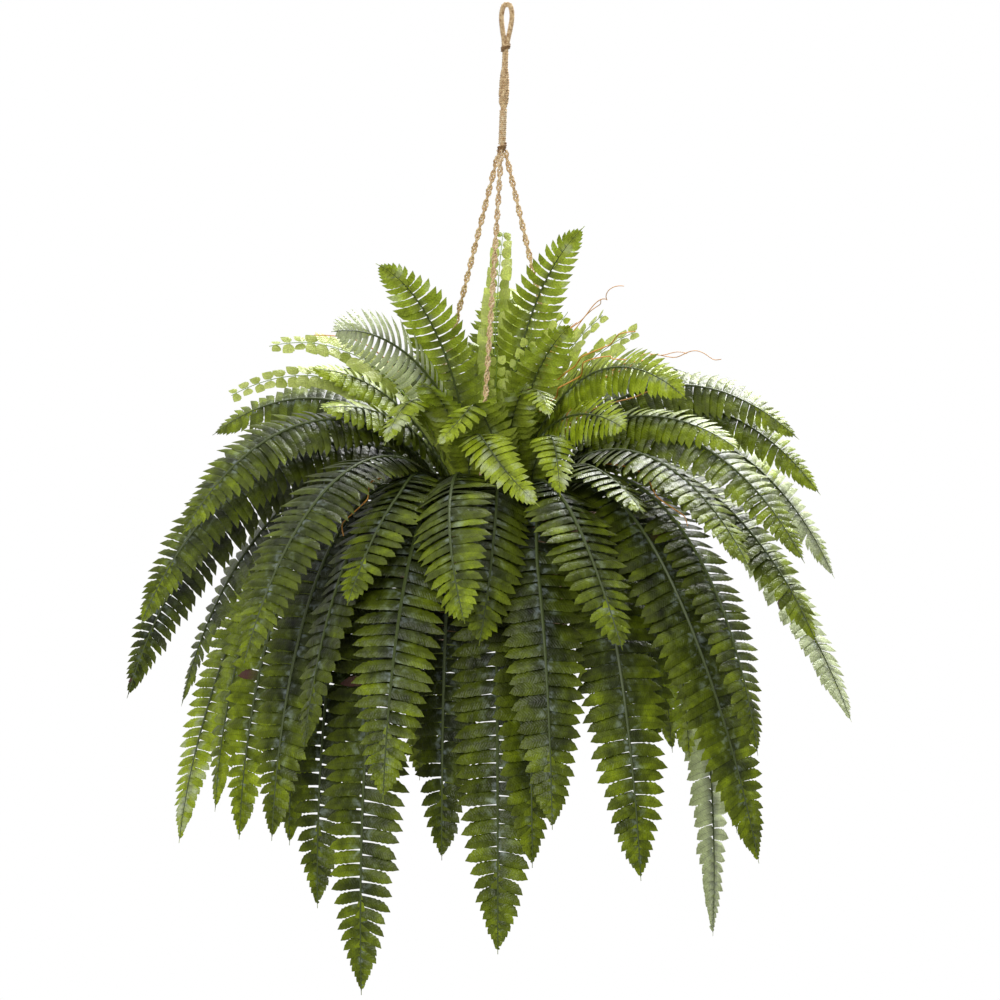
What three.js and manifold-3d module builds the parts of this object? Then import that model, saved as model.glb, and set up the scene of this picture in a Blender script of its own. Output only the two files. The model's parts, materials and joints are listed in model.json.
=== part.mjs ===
// Boston fern (Nephrolepis exaltata) in a woven basket, hung on a knotted jute hanger.
//
// Millimetres, +Z up. The origin is the top of the hanging loop's eye, where a hook carries it.
// +X is to the right of the plant's show side, and the show side faces -Y.
//
// The plant is laid out as nested bells. A frond's rib runs along a profile, a curve in a vertical half
// plane that leaves the soil near the crown, arches and falls. Upright profiles lie inside and above,
// hanging ones outside and below, and no two profiles cross, so that fronds on different bells pass each
// other like the layers of an onion.

import * as THREE from "three";
import { mergeVertices } from "three/addons/utils/BufferGeometryUtils.js";
import Module from "manifold-3d";

const wasm = await Module();
wasm.setup();

const DEG = Math.PI / 180;

// ---------------------------------------------------------------- driving dimensions

const CROWN = new THREE.Vector3(-15, 0, -445); // middle of the soil's top face
const CORD_AZIMUTHS = { cord_front: -96, cord_right: 25, cord_left: 139 };

const LOOP = { eye: 2.3, height: 31, rope: 5, binding: 6 }; // eye is half its width
const NECK = { end: -124, lean: 2.1, bottom: 2.4, served: -90 };
const CORD = { diameter: 5.6, top: -127, spread: 3.2 };

const RIM = { radius: 95, roll: 3.6, height: 6 }; // height of the roll's middle above the soil
const BASKET = { base: 66, depth: 126, wall: 4, rows: 6, relief: 1.5, sides: 20 };
const TIE = { radius: 7, rope: 2 };
const SOIL = { radius: 82, foot: 60, depth: 62, clear: 1.5 };

const GAP = 0.4; // between pieces that touch
const BLADE = 0.8; // thickness of a leaflet
const ROOTED = 12; // depth of a stem's foot in the soil
const PITCH = 38; // from one leaflet to the next along a rib

// The bells: the reach at which a stem stands in the soil, and, as [reach, height] from the crown, the two
// points that the profile bends towards and its furthest tip. The first twelve go from upright to hanging,
// and the last three are short fronds: one arched over the rim, one more upright and one low.
const BELLS = [
  { root: 8, rise: [12, 95], fall: [34, 200], tip: [88, 250] },
  { root: 13, rise: [26, 105], fall: [66, 205], tip: [138, 225] },
  { root: 18, rise: [44, 112], fall: [108, 185], tip: [190, 174] },
  { root: 23, rise: [62, 112], fall: [150, 165], tip: [240, 112] },
  { root: 28, rise: [80, 112], fall: [195, 140], tip: [288, 42] },
  { root: 34, rise: [96, 112], fall: [232, 110], tip: [312, -35] },
  { root: 40, rise: [112, 108], fall: [258, 72], tip: [326, -115] },
  { root: 46, rise: [126, 104], fall: [278, 28], tip: [335, -200] },
  { root: 52, rise: [134, 101], fall: [280, -20], tip: [292, -300] },
  { root: 58, rise: [134, 100], fall: [258, -60], tip: [246, -390] },
  { root: 64, rise: [130, 100], fall: [218, -95], tip: [196, -455] },
  { root: 70, rise: [124, 100], fall: [178, -120], tip: [150, -430] },
  { root: 58, rise: [92, 66], fall: [124, 118], tip: [158, 40] },
  { root: 40, rise: [74, 90], fall: [104, 140], tip: [140, 120] },
  { root: 60, rise: [96, 50], fall: [138, 86], tip: [176, 14] },
];

// The fronds, one row for each root, with one or two fronds on it:
// [azimuth, bell, share of the profile's length, half width, sideways sweep, turn about the rib].
// Azimuth 0 points along +X, 90 to the back and -90 to the show side.
const FRONDS = [
  // upright fronds round the crown
  [[-30, 0.1, 1, 26, 0, -55]],
  [[-138, 1.1, 0.95, 27, 0, 45], [-136, 2.3, 0.93, 34, 0, -72]],
  [[-56, 2.0, 0.76, 24, 0, -30]],
  [[116, 3.2, 1, 30, 20, -30]],
  [[-160, 3.2, 0.7, 28, 0, -37], [-146, 4.3, 0.58, 30, 0, -34]],
  [[-48, 3.1, 1, 28, 0, 55], [-57, 4.5, 0.66, 28, 0, 55]],
  [[42, 3.2, 1, 30, -12, 20]],
  // short fronds that fill the crown's show side
  [[-76, 3.3, 0.56, 22, 0, 0], [-70, 12.6, 1, 22, 0, 0]],
  [[-114, 3.4, 0.6, 22, 0, 0], [-126, 12.3, 1, 22, 0, 0]],
  // arching fronds, left
  [[170, 4.2, 0.84, 32, 0, -40]],
  [[164, 5.3, 0.88, 34, 0, -45], [172, 7.8, 0.8, 34, 0, -30]],
  [[-150, 4.8, 0.97, 34, 0, -30], [-163, 6.0, 0.95, 34, 0, -40]],
  [[-179, 7.0, 0.93, 36, 0, -50]],
  [[-130, 6.4, 0.91, 36, 0, -10], [-117, 7.7, 0.55, 34, -6, 0]],
  // arching fronds, right
  [[-3, 3.7, 1, 32, 0, 40], [-26, 4.7, 0.73, 32, 0, 30]],
  [[9, 5.4, 1, 32, 0, 45], [4, 4.4, 1, 32, 0, 45]],
  [[-28, 5.3, 0.93, 34, 0, 20], [-23, 6.8, 0.82, 36, 0, 20]],
  [[-40, 6.1, 0.76, 34, 0, 5], [-53, 7.0, 0.46, 32, -3, -5]],
  [[-38, 7.7, 0.84, 35, -2, 6]],
  [[31, 7.0, 1, 34, -22, 55]],
  // front fronds that arch towards the show side
  [[-103, 7.4, 0.62, 36, 22, 15], [-105, 14, 1, 22, 28, 10]],
  [[-87, 8.5, 0.5, 34, -20, -20], [-81, 12.3, 1, 22, -26, 15]],
  [[-69, 8.0, 0.58, 38, 14, -5], [-77, 9.2, 0.72, 36, 0, 5]],
  // hanging fronds
  [[-58, 9.4, 0.79, 42, 4, 10], [-66, 14, 0.95, 22, -4, 0]],
  [[-47, 8.4, 0.92, 40, 18, 20]],
  [[18, 9.6, 0.95, 34, 0, 60], [1, 10.4, 0.6, 34, 0, 50]],
  [[-19, 9.3, 0.76, 34, 0, 35], [-33, 10.5, 0.54, 34, 0, 30]],
  [[-88, 10.1, 0.84, 41, 0, 15], [-80, 9.8, 0.72, 36, 0, -20]],
  [[-111, 8.8, 0.72, 40, 0, -15], [-104, 10.7, 0.72, 38, 0, 15]],
  [[-122, 9.8, 0.93, 42, 0, -12], [-127, 8.4, 0.7, 36, 0, 20]],
  [[-140, 9.0, 0.78, 36, 0, -20], [-142, 10.2, 0.8, 36, 0, -35]],
  [[-160, 9.2, 0.78, 34, 0, -40], [-176, 8.9, 0.79, 34, 0, -35]],
  [[149, 8.1, 1, 34, 24, -65]],
  [[160, 10.2, 0.64, 34, 0, -60], [179, 10.4, 0.74, 34, 0, -55]],
  // the back
  [[84, 1.6, 1, 30, 0, 0], [97, 2.7, 1, 30, 0, 0]],
  [[68, 4.2, 1, 32, 0, 0], [54, 5.6, 1, 32, 0, 0]],
  [[118, 4.6, 1, 32, 0, 0], [132, 5.8, 1, 32, 0, 0]],
  [[92, 5.4, 1, 34, 0, 0], [80, 6.9, 1, 34, 0, 0]],
  [[110, 7.2, 1, 34, 0, 0], [98, 8.6, 0.92, 36, 0, 0]],
  [[62, 8.2, 0.86, 36, 0, 0], [74, 9.8, 0.72, 36, 0, 0]],
  [[126, 9.2, 0.86, 36, 0, 0], [112, 10.4, 0.68, 36, 0, 0]],
  [[42, 9.2, 0.7, 36, 0, 0], [52, 10.5, 0.62, 36, 0, 0]],
];

// Young sprigs with small round leaflets: [azimuth, bell, share, half width].
const SPRIGS = [
  [82, 0, 0.98, 12],
  [-18, 1.6, 0.75, 12],
  [-8, 2.2, 0.75, 13],
  [-172, 2.6, 0.92, 12],
];

// Wiry runners: [azimuth, bell, share, sideways wave].
const RUNNERS = [
  [-34, 1.5, 0.95, 7],
  [10, 2.9, 0.9, 8],
];

// ---------------------------------------------------------------- solids

// A closed manifold solid from a geometry.
function toSolid(geometry) {
  const bare = geometry.clone();
  for (const name of Object.keys(bare.attributes)) {
    if (name !== "position") bare.deleteAttribute(name);
  }
  const merged = mergeVertices(bare, 1e-3);
  return new wasm.Manifold(
    new wasm.Mesh({
      numProp: 3,
      vertProperties: new Float32Array(merged.attributes.position.array),
      triVerts: new Uint32Array(merged.index.array),
    })
  );
}

function toGeometry(solid) {
  const mesh = solid.getMesh();
  const geometry = new THREE.BufferGeometry();
  geometry.setAttribute("position", new THREE.BufferAttribute(new Float32Array(mesh.vertProperties), 3));
  geometry.setIndex(new THREE.BufferAttribute(new Uint32Array(mesh.triVerts), 1));
  return geometry;
}

function join(geometries) {
  return toGeometry(geometries.map(toSolid).reduce((whole, piece) => whole.add(piece)));
}

function cut(geometry, cutters) {
  return toGeometry(cutters.map(toSolid).reduce((rest, cutter) => rest.subtract(cutter), toSolid(geometry)));
}

// A point at an azimuth and a reach from the crown's axis, and a height above the soil.
function atCrown(azimuth, reach, height) {
  return new THREE.Vector3(
    CROWN.x + reach * Math.cos(azimuth * DEG),
    CROWN.y + reach * Math.sin(azimuth * DEG),
    CROWN.z + height
  );
}

// A round rope along a curve.
function rope(curve, diameter, sides, steps) {
  const section = new THREE.Shape();
  for (let i = 0; i < sides; i++) {
    const angle = (2 * Math.PI * i) / sides;
    const point = [(diameter / 2) * Math.cos(angle), (diameter / 2) * Math.sin(angle)];
    if (i === 0) section.moveTo(...point);
    else section.lineTo(...point);
  }
  return new THREE.ExtrudeGeometry(section, { extrudePath: curve, steps, bevelEnabled: false });
}

// ---------------------------------------------------------------- growth

// The rib's line of a frond: along its bell's profile, with a sideways sweep or wave round the crown.
// A frond that shares another's root starts there and bends over to its own azimuth.
class Rib extends THREE.Curve {
  constructor({ azimuth, bell, share = 1, sweep = 0, wave = 0, root = null }) {
    super();
    this.arcLengthDivisions = 240;
    const inner = Math.min(Math.floor(bell), BELLS.length - 2);
    const mix = (pick) => {
      const from = new THREE.Vector2(...pick(BELLS[inner]));
      return from.lerp(new THREE.Vector2(...pick(BELLS[inner + 1])), bell - inner);
    };
    this.azimuth = azimuth;
    this.sweep = sweep;
    this.wave = wave;
    this.share = share;
    this.root = root ?? { azimuth, start: mix((row) => [row.root, -ROOTED]), rise: mix((row) => row.rise) };
    const [fall, tip] = [mix((row) => row.fall), mix((row) => row.tip)];
    this.profile = new THREE.CubicBezierCurve(this.root.start, this.root.rise, fall, tip);
  }

  getPoint(t, target = new THREE.Vector3()) {
    const u = t * this.share;
    const at = this.profile.getPointAt(u);
    const leave = 1 - THREE.MathUtils.smoothstep(u, 0.04, 0.32);
    const bend = this.sweep * u * u + this.wave * Math.sin(6 * Math.PI * u) * u;
    const azimuth = THREE.MathUtils.lerp(this.azimuth + bend, this.root.azimuth, leave);
    return target.copy(atCrown(azimuth, at.x, at.y));
  }

  // Along, across and up from the blade's face at a point of the rib.
  frameAt(u, turn = 0) {
    const along = this.getTangentAt(u);
    const point = this.getPointAt(u);
    const outward = new THREE.Vector3(point.x - CROWN.x, point.y - CROWN.y, 0).normalize();
    const rise = along.z;
    const reach = along.dot(outward);
    const up = outward.clone().multiplyScalar(-rise).add(new THREE.Vector3(0, 0, reach));
    const across = along.clone().cross(up).normalize();
    across.applyAxisAngle(along, turn * DEG * Math.min(1, 2 * u));
    return { point, along, across, up: across.clone().cross(along).normalize() };
  }
}

// A leaflet's outline from one notch at the rib to the next: [along its pitch, out from the rib].
const FROND_LEAFLET = [[0.78, 1.0]];
const SPRIG_LEAFLET = [
  [0.1, 0.9],
  [0.7, 0.95],
];

// A leafy rib as one closed body. The rib has four corners at each station, its blade starts after a
// bare stem, and each leaflet is a plate with an outline point or two between a pair of notches.
// The faces are split alike above and below.
function leafyRib(rib, { bare, pitch, half, outline, turn = 0, stem = 1.9 }) {
  const length = rib.getLength();
  const pairs = half > 0 ? Math.max(3, Math.round((length - bare) / pitch)) : 0;
  const stemSteps = Math.max(2, Math.round(bare / 30));
  const stations = [0, ROOTED / length];
  for (let i = 1; i <= stemSteps; i++) {
    stations.push((ROOTED + ((bare - ROOTED) * i) / stemSteps) / length);
  }
  const first = stations.length - 1;
  for (let i = 1; i <= pairs; i++) {
    const reached = i === pairs ? pairs - 0.35 : i; // the blade ends in a short tip
    stations.push((bare + ((length - bare) * reached) / pairs) / length);
  }

  const positions = [];
  const faces = [];
  const put = (v) => positions.push(v.x, v.y, v.z) / 3 - 1;
  const place = (frame, along, across, up) =>
    put(
      frame.point
        .clone()
        .addScaledVector(frame.along, along)
        .addScaledVector(frame.across, across)
        .addScaledVector(frame.up, up)
    );
  const quad = (a, b, c, d) => faces.push(a, c, b, a, d, c);

  const corners = stations.map((u) => {
    const frame = rib.frameAt(u, turn);
    const thin = 1 - 0.62 * u;
    const out = stem * 0.8 * thin;
    const deep = stem * thin;
    const high = 0.35 * stem * thin;
    return {
      frame,
      left: { top: place(frame, 0, out, high), low: place(frame, 0, out * 0.8, high - deep - BLADE) },
      right: { top: place(frame, 0, -out, high), low: place(frame, 0, -out * 0.8, high - deep - BLADE) },
    };
  });

  // the rib's upper and lower faces, and its foot
  const last = corners.length - 1;
  for (let i = 0; i < last; i++) {
    const [a, b] = [corners[i], corners[i + 1]];
    quad(a.right.top, b.right.top, b.left.top, a.left.top);
    quad(a.left.low, b.left.low, b.right.low, a.right.low);
  }
  const foot = corners[0];
  quad(foot.right.top, foot.left.top, foot.left.low, foot.right.low);

  // the two edges, with the leaflets
  for (const side of [1, -1]) {
    const edge = (corner) => (side > 0 ? corner.left : corner.right);
    const wall = (a, b) => {
      if (side > 0) quad(a.top, b.top, b.low, a.low);
      else quad(a.low, b.low, b.top, a.top);
    };
    const face = (a, b, c) => {
      if (side > 0) faces.push(a.top, c.top, b.top, a.low, b.low, c.low);
      else faces.push(a.top, b.top, c.top, a.low, c.low, b.low);
    };
    for (let i = 0; i < last; i++) {
      const [from, to] = [corners[i], corners[i + 1]];
      const ring = [edge(from)];
      if (i >= first) {
        const along = (stations[i + 1] - stations[i]) * length;
        const u = (i - first + 0.5) / pairs;
        const out = half * Math.min(1, 0.6 + 1.6 * u) * (1 - u ** 6) ** 0.9; // tapers to the tip
        const sag = 0.1 + 0.26 * (1 - Math.abs(from.frame.along.z));
        for (const [ahead, across] of outline) {
          const droop = -sag * out * across;
          ring.push({
            top: place(from.frame, ahead * along, side * out * across, droop),
            low: place(from.frame, ahead * along, side * out * across, droop - BLADE),
          });
        }
      }
      ring.push(edge(to));
      for (let k = 0; k + 1 < ring.length; k++) wall(ring[k], ring[k + 1]);
      for (let k = 1; k + 1 < ring.length; k++) face(ring[0], ring[k + 1], ring[k]);
    }
  }

  // the tip
  const end = corners[last];
  const reach = half > 0 ? 0.3 * pitch : 2;
  const tip = {
    top: place(end.frame, reach, 0, 0),
    low: place(end.frame, reach, 0, -BLADE),
  };
  faces.push(end.right.top, end.left.top, tip.top);
  faces.push(end.left.low, end.right.low, tip.low);
  quad(end.left.top, tip.top, tip.low, end.left.low);
  quad(end.right.low, tip.low, tip.top, end.right.top);

  const geometry = new THREE.BufferGeometry();
  geometry.setAttribute("position", new THREE.Float32BufferAttribute(positions, 3));
  geometry.setIndex(faces);
  return geometry;
}

// The hole in the soil that a stem stands in.
function stemHole(rib, stem) {
  const sunk = ROOTED / rib.getLength();
  const foot = rib.getPointAt(0);
  const along = rib.getTangentAt(0);
  const mouth = rib.getPointAt(sunk * 1.7);
  const path = new THREE.LineCurve3(foot.addScaledVector(along, -SOIL.clear), mouth);
  return rope(path, 2 * (stem + SOIL.clear) * 1.3, 4, 1);
}

// ---------------------------------------------------------------- materials

const finish = (color, roughness) => new THREE.MeshStandardMaterial({ color, roughness, metalness: 0 });
const jute = finish(0xb08d57, 0.9);
const twine = finish(0x8c6d42, 0.9);
const wicker = finish(0x6e5334, 0.85);
const soilBrown = finish(0x3a2a1e, 1);
const deepGreen = finish(0x41561d, 0.5);
const freshGreen = finish(0x6f9428, 0.5);
const youngGreen = finish(0x96b35a, 0.55);
const runnerBrown = finish(0xb5702c, 0.6);

// ---------------------------------------------------------------- pieces

const part = new THREE.Group();

function add(parent, name, geometry, material) {
  const mesh = new THREE.Mesh(geometry, material);
  mesh.name = name;
  parent.add(mesh);
}

// Fronds. Upright ones are a fresher green than the hanging ones.
const holes = [];
FRONDS.forEach((row, index) => {
  let root = null;
  const ribs = row.map(([azimuth, bell, share, half, sweep, turn]) => {
    const rib = new Rib({ azimuth, bell, share, sweep, root });
    root ??= rib.root;
    const bare = Math.min(78, 0.26 * rib.getLength());
    return leafyRib(rib, { bare, pitch: PITCH, half, outline: FROND_LEAFLET, turn });
  });
  holes.push(stemHole(new Rib({ azimuth: row[0][0], bell: row[0][1] }), 2.2));
  const geometry = ribs.length > 1 ? join(ribs) : ribs[0];
  const name = `frond_${String(index + 1).padStart(2, "0")}`;
  add(part, name, geometry, row[0][1] < 5 ? freshGreen : deepGreen);
});

SPRIGS.forEach(([azimuth, bell, share, half], index) => {
  const rib = new Rib({ azimuth, bell, share });
  holes.push(stemHole(rib, 1.2));
  const shape = { bare: 0.4 * rib.getLength(), pitch: 20, half, outline: SPRIG_LEAFLET, stem: 1.2 };
  add(part, `sprig_${index + 1}`, leafyRib(rib, shape), youngGreen);
});

RUNNERS.forEach(([azimuth, bell, share, wave], index) => {
  const rib = new Rib({ azimuth, bell, share, wave });
  holes.push(stemHole(rib, 1.1));
  const shape = { bare: 0.96 * rib.getLength(), pitch: PITCH, half: 0, outline: [], stem: 1.1 };
  add(part, `runner_${index + 1}`, leafyRib(rib, shape), runnerBrown);
});

// A turned shape from [radius, height] points, standing on the crown's axis.
function turned(points, segments) {
  const geometry = new THREE.LatheGeometry(points.map(([r, z]) => new THREE.Vector2(r, z)), segments);
  geometry.rotateX(90 * DEG);
  return geometry;
}

// Soil, a plug with a hole for each stem.
const plug = turned([[0, -SOIL.depth], [SOIL.foot, -SOIL.depth], [SOIL.radius, 0], [0, 0]], BASKET.sides);
plug.translate(CROWN.x, CROWN.y, CROWN.z);
add(part, "soil", cut(plug, holes), soilBrown);

// The basket: a tapering woven wall on a flat bottom, with a rolled rim. Each row of weaving stands out
// on every other stake, and on the stakes between in the next row.
function wovenBasket() {
  const inner = RIM.radius - BASKET.wall;
  const top = RIM.height - RIM.roll;
  const bottom = RIM.height + RIM.roll - BASKET.depth;
  const outer = (z) => THREE.MathUtils.mapLinear(z, bottom, top, BASKET.base, RIM.radius);
  const rowHeight = (top - bottom) / BASKET.rows;
  const points = [[0, bottom], [BASKET.base, bottom]];
  for (let row = 0; row < BASKET.rows; row++) {
    const z = bottom + (row + 0.5) * rowHeight;
    points.push([outer(z) + BASKET.relief, z]);
  }
  points.push([RIM.radius, top]);
  for (const angle of [-40, 30, 90, 150, 220]) {
    points.push([
      RIM.radius + RIM.roll * Math.cos(angle * DEG),
      RIM.height + RIM.roll * Math.sin(angle * DEG),
    ]);
  }
  points.push([inner, top], [BASKET.base - BASKET.wall, bottom + BASKET.wall], [0, bottom + BASKET.wall]);
  const shell = turned(points, BASKET.sides);
  const position = shell.attributes.position;
  for (let i = 0; i < position.count; i++) {
    const [x, y, z] = [position.getX(i), position.getY(i), position.getZ(i)];
    const row = Math.round((z - bottom) / rowHeight - 0.5);
    const reach = Math.hypot(x, y);
    const onRow = Math.abs(reach - outer(z) - BASKET.relief) < 0.01 && row >= 0 && row < BASKET.rows;
    if (!onRow) continue;
    const stake = Math.round((Math.atan2(y, x) * BASKET.sides) / (2 * Math.PI));
    const wave = (stake + row) % 2 === 0 ? 1 : -1;
    const scale = (reach + wave * BASKET.relief) / reach;
    position.setXY(i, x * scale, y * scale);
  }
  shell.translate(CROWN.x, CROWN.y, CROWN.z);
  return shell;
}

// Where a tie goes round the rim, and the slot in the wall that it passes through.
const rimPoint = (azimuth) => atCrown(azimuth, RIM.radius, RIM.height);
const slots = Object.values(CORD_AZIMUTHS).map((azimuth) => {
  const slot = new THREE.BoxGeometry(6 * BASKET.wall, 2 * TIE.rope + 3, 2 * TIE.rope + 4);
  slot.rotateZ(azimuth * DEG);
  const centre = rimPoint(azimuth);
  return slot.translate(centre.x, centre.y, centre.z - TIE.radius + 1);
});
add(part, "basket", cut(wovenBasket(), slots), wicker);

// The hanging loop and the neck below it: one doubled rope.
const eyeLine = new THREE.CatmullRomCurve3([
  new THREE.Vector3(-1.3, 0, -LOOP.height - 6),
  new THREE.Vector3(-1.7, 0, -LOOP.height + 2),
  new THREE.Vector3(-LOOP.eye - 1.2, 0, -LOOP.height * 0.62),
  new THREE.Vector3(-LOOP.eye - 2.4, 0, -LOOP.height * 0.26),
  new THREE.Vector3(-LOOP.eye * 1.4, 0, 0.6),
  new THREE.Vector3(0, 0, LOOP.rope / 2),
  new THREE.Vector3(LOOP.eye * 1.4, 0, 0.6),
  new THREE.Vector3(LOOP.eye + 2.4, 0, -LOOP.height * 0.26),
  new THREE.Vector3(LOOP.eye + 1.2, 0, -LOOP.height * 0.62),
  new THREE.Vector3(1.7, 0, -LOOP.height + 2),
  new THREE.Vector3(1.3, 0, -LOOP.height - 6),
]);
const neckProfile = [
  [0, NECK.end],
  [NECK.bottom, NECK.end],
  [NECK.bottom, NECK.served],
  [4.2, -84],
  [4.6, -76],
  [4.1, -62],
  [2.7, -53],
  [2.6, -LOOP.height - 2],
  [0, -LOOP.height - 2],
];
const hanger = new THREE.Group();
hanger.rotation.y = NECK.lean * DEG;
part.add(hanger);
add(hanger, "hanging_loop", join([rope(eyeLine, LOOP.rope, 8, 20), turned(neckProfile, 10)]), jute);

// Twine served round the neck in two places.
function serving(from, to, inside, outside) {
  const ring = [
    [inside, to],
    [inside, from],
    [outside, from],
    [outside + 0.3, (from + to) / 2],
    [outside, to],
  ];
  return turned([...ring, ring[0]], 12);
}
add(hanger, "loop_binding", serving(-LOOP.height - 2 - LOOP.binding, -LOOP.height - 2, 4.3, 5.1), twine);
add(hanger, "neck_whipping", serving(NECK.end, NECK.served - 1, 2.9, 3.6), twine);

// The three knotted cords, from the neck to their ties on the rim.
const neckEnd = new THREE.Vector3(0, 0, CORD.top).applyEuler(hanger.rotation);
for (const [name, azimuth] of Object.entries(CORD_AZIMUTHS)) {
  const outward = new THREE.Vector3(Math.cos(azimuth * DEG), Math.sin(azimuth * DEG), 0);
  const top = neckEnd.clone().addScaledVector(outward, CORD.spread);
  const knot = rimPoint(azimuth);
  const slope = top.clone().sub(knot).normalize();
  const end = knot.clone().addScaledVector(slope, TIE.radius + TIE.rope + GAP + 1);
  add(part, name, rope(new THREE.LineCurve3(top, end), CORD.diameter, 8, 1), jute);
  const tie = new THREE.TorusGeometry(TIE.radius, TIE.rope, 6, 10);
  tie.rotateX(90 * DEG);
  tie.rotateZ(azimuth * DEG);
  tie.translate(knot.x, knot.y, knot.z);
  add(part, name.replace("cord", "tie"), tie, jute);
}

export default part;
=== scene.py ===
# Boston fern in a woven basket, hung on a jute hanger: the looks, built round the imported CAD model.

# %% [markdown]
# ## The frame
# The CAD model is loaded first and stays as it is. Everything below is worked out in millimetres from the
# same driving dimensions as the CAD model, in the same frame, and turned to metres when a mesh is made.
# The origin is the top of the hanging loop's eye, +Z is up and the plant's show side faces -Y.

import json
from functools import partial

import bpy
import numpy as np
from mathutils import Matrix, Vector

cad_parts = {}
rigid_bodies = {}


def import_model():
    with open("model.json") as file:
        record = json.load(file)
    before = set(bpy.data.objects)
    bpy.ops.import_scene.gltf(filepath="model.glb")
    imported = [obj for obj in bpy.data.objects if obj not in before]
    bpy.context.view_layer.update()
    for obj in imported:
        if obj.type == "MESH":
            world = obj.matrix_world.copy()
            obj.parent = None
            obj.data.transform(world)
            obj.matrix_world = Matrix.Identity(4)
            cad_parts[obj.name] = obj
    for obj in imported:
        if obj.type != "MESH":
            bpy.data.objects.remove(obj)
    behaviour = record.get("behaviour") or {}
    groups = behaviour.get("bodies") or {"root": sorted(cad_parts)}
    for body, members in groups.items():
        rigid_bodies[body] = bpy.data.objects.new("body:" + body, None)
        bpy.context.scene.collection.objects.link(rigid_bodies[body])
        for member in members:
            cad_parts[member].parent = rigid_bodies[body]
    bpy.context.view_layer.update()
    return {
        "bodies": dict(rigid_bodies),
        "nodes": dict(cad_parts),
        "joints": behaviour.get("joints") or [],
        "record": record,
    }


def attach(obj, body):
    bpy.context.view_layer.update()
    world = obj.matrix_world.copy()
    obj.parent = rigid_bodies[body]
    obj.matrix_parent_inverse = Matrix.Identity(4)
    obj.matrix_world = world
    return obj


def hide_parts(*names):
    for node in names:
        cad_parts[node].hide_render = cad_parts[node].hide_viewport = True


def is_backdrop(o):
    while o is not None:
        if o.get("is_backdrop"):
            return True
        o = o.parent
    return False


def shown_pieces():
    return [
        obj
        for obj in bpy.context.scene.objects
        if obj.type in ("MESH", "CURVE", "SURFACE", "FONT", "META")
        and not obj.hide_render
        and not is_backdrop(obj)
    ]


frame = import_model()

MM = 0.001
CROWN = np.array([-15.0, 0.0, -445.0])  # middle of the soil's top face
SIDE, UP = np.eye(3)[1:]  # along Y and Z

# %% [markdown]
# ## The camera
# A long lens far away keeps the plant nearly in parallel view, looking down on it by a few degrees.
# The camera comes first.

# %% Camera
CAMERA_TARGET = np.array([-6.3, 0.0, -440.0])
CAMERA_DISTANCE = 3000.0
CAMERA_ELEVATION = np.radians(4)
LENS, SENSOR = 120.0, 36.0

camera_data = bpy.data.cameras.new("camera")
camera_data.lens = LENS
camera_data.sensor_width = SENSOR
camera = bpy.data.objects.new("camera", camera_data)
bpy.context.scene.collection.objects.link(camera)
back_off = CAMERA_DISTANCE * np.array([0, -np.cos(CAMERA_ELEVATION), np.sin(CAMERA_ELEVATION)])
camera.location = (CAMERA_TARGET + back_off) * MM
camera.rotation_euler = Vector(-back_off).to_track_quat("-Z", "Y").to_euler()
bpy.context.scene.camera = camera
print("camera at", [round(v, 3) for v in camera.location])

# %% [markdown]
# ## Meshes from arrays
# Every surface here is a function of two parameters, worked out for all its points at once. One function
# takes the finished arrays and fills a Blender mesh with `foreach_set`, which is far quicker than adding
# vertices one by one. A part is a dictionary of its points, its quads, its UVs in centimetres, one colour
# attribute and the number of its material.


# %% Mesh helpers
def ring_quads(rings, sides):
    """Quads between neighbouring rings of `sides` points each, which are numbered ring by ring."""
    r, c = np.meshgrid(np.arange(rings - 1) * sides, np.arange(sides), indexing="ij")
    ahead = (c + 1) % sides
    return np.stack([r + sides + c, r + sides + ahead, r + ahead, r + c], axis=-1).reshape(-1, 4)


def copied_quads(quads, count, each):
    """The same quads for `count` copies of a shape with `each` points."""
    return (quads[None] + np.arange(count)[:, None, None] * each).reshape(-1, 4)


def make_part(points, quads, uv=None, leaf=None, material=0):
    """One part of a piece. Missing UVs and colours are filled with zeros."""
    points = points.reshape(-1, 3)
    uv = np.zeros((len(points), 2)) if uv is None else uv.reshape(-1, 2)
    leaf = np.zeros((len(points), 4)) if leaf is None else leaf.reshape(-1, 4)
    material = np.broadcast_to(material, len(quads))
    return {"points": points, "quads": quads, "uv": uv, "leaf": leaf, "material": material}


def make_piece(name, parts, materials, sharp=50):
    """A mesh object from its parts. Edges that turn by more than `sharp` degrees stay crisp."""
    starts = np.cumsum([0] + [len(p["points"]) for p in parts])[:-1]
    corners = np.concatenate([p["quads"] + start for p, start in zip(parts, starts)]).ravel()
    joined = {key: np.concatenate([p[key] for p in parts]) for key in ("points", "uv", "leaf", "material")}
    mesh = bpy.data.meshes.new(name)
    mesh.vertices.add(len(joined["points"]))
    mesh.vertices.foreach_set("co", (joined["points"] * MM).ravel())
    mesh.loops.add(len(corners))
    mesh.loops.foreach_set("vertex_index", corners.astype(np.int32))
    mesh.polygons.add(len(corners) // 4)
    mesh.polygons.foreach_set("loop_start", np.arange(0, len(corners), 4, dtype=np.int32))
    mesh.polygons.foreach_set("use_smooth", np.ones(len(corners) // 4, bool))
    mesh.polygons.foreach_set("material_index", joined["material"].astype(np.int32))
    mesh.update(calc_edges=True)
    mesh.uv_layers.new(name="UVMap").data.foreach_set("uv", joined["uv"][corners].ravel())
    colour = mesh.attributes.new("leaf", "FLOAT_COLOR", "POINT")
    colour.data.foreach_set("color", joined["leaf"].ravel())
    for material in materials:
        mesh.materials.append(material)
    mesh.set_sharp_from_angle(angle=np.radians(sharp))
    piece = bpy.data.objects.new(name, mesh)
    bpy.context.scene.collection.objects.link(piece)
    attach(piece, "root")
    return piece


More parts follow.
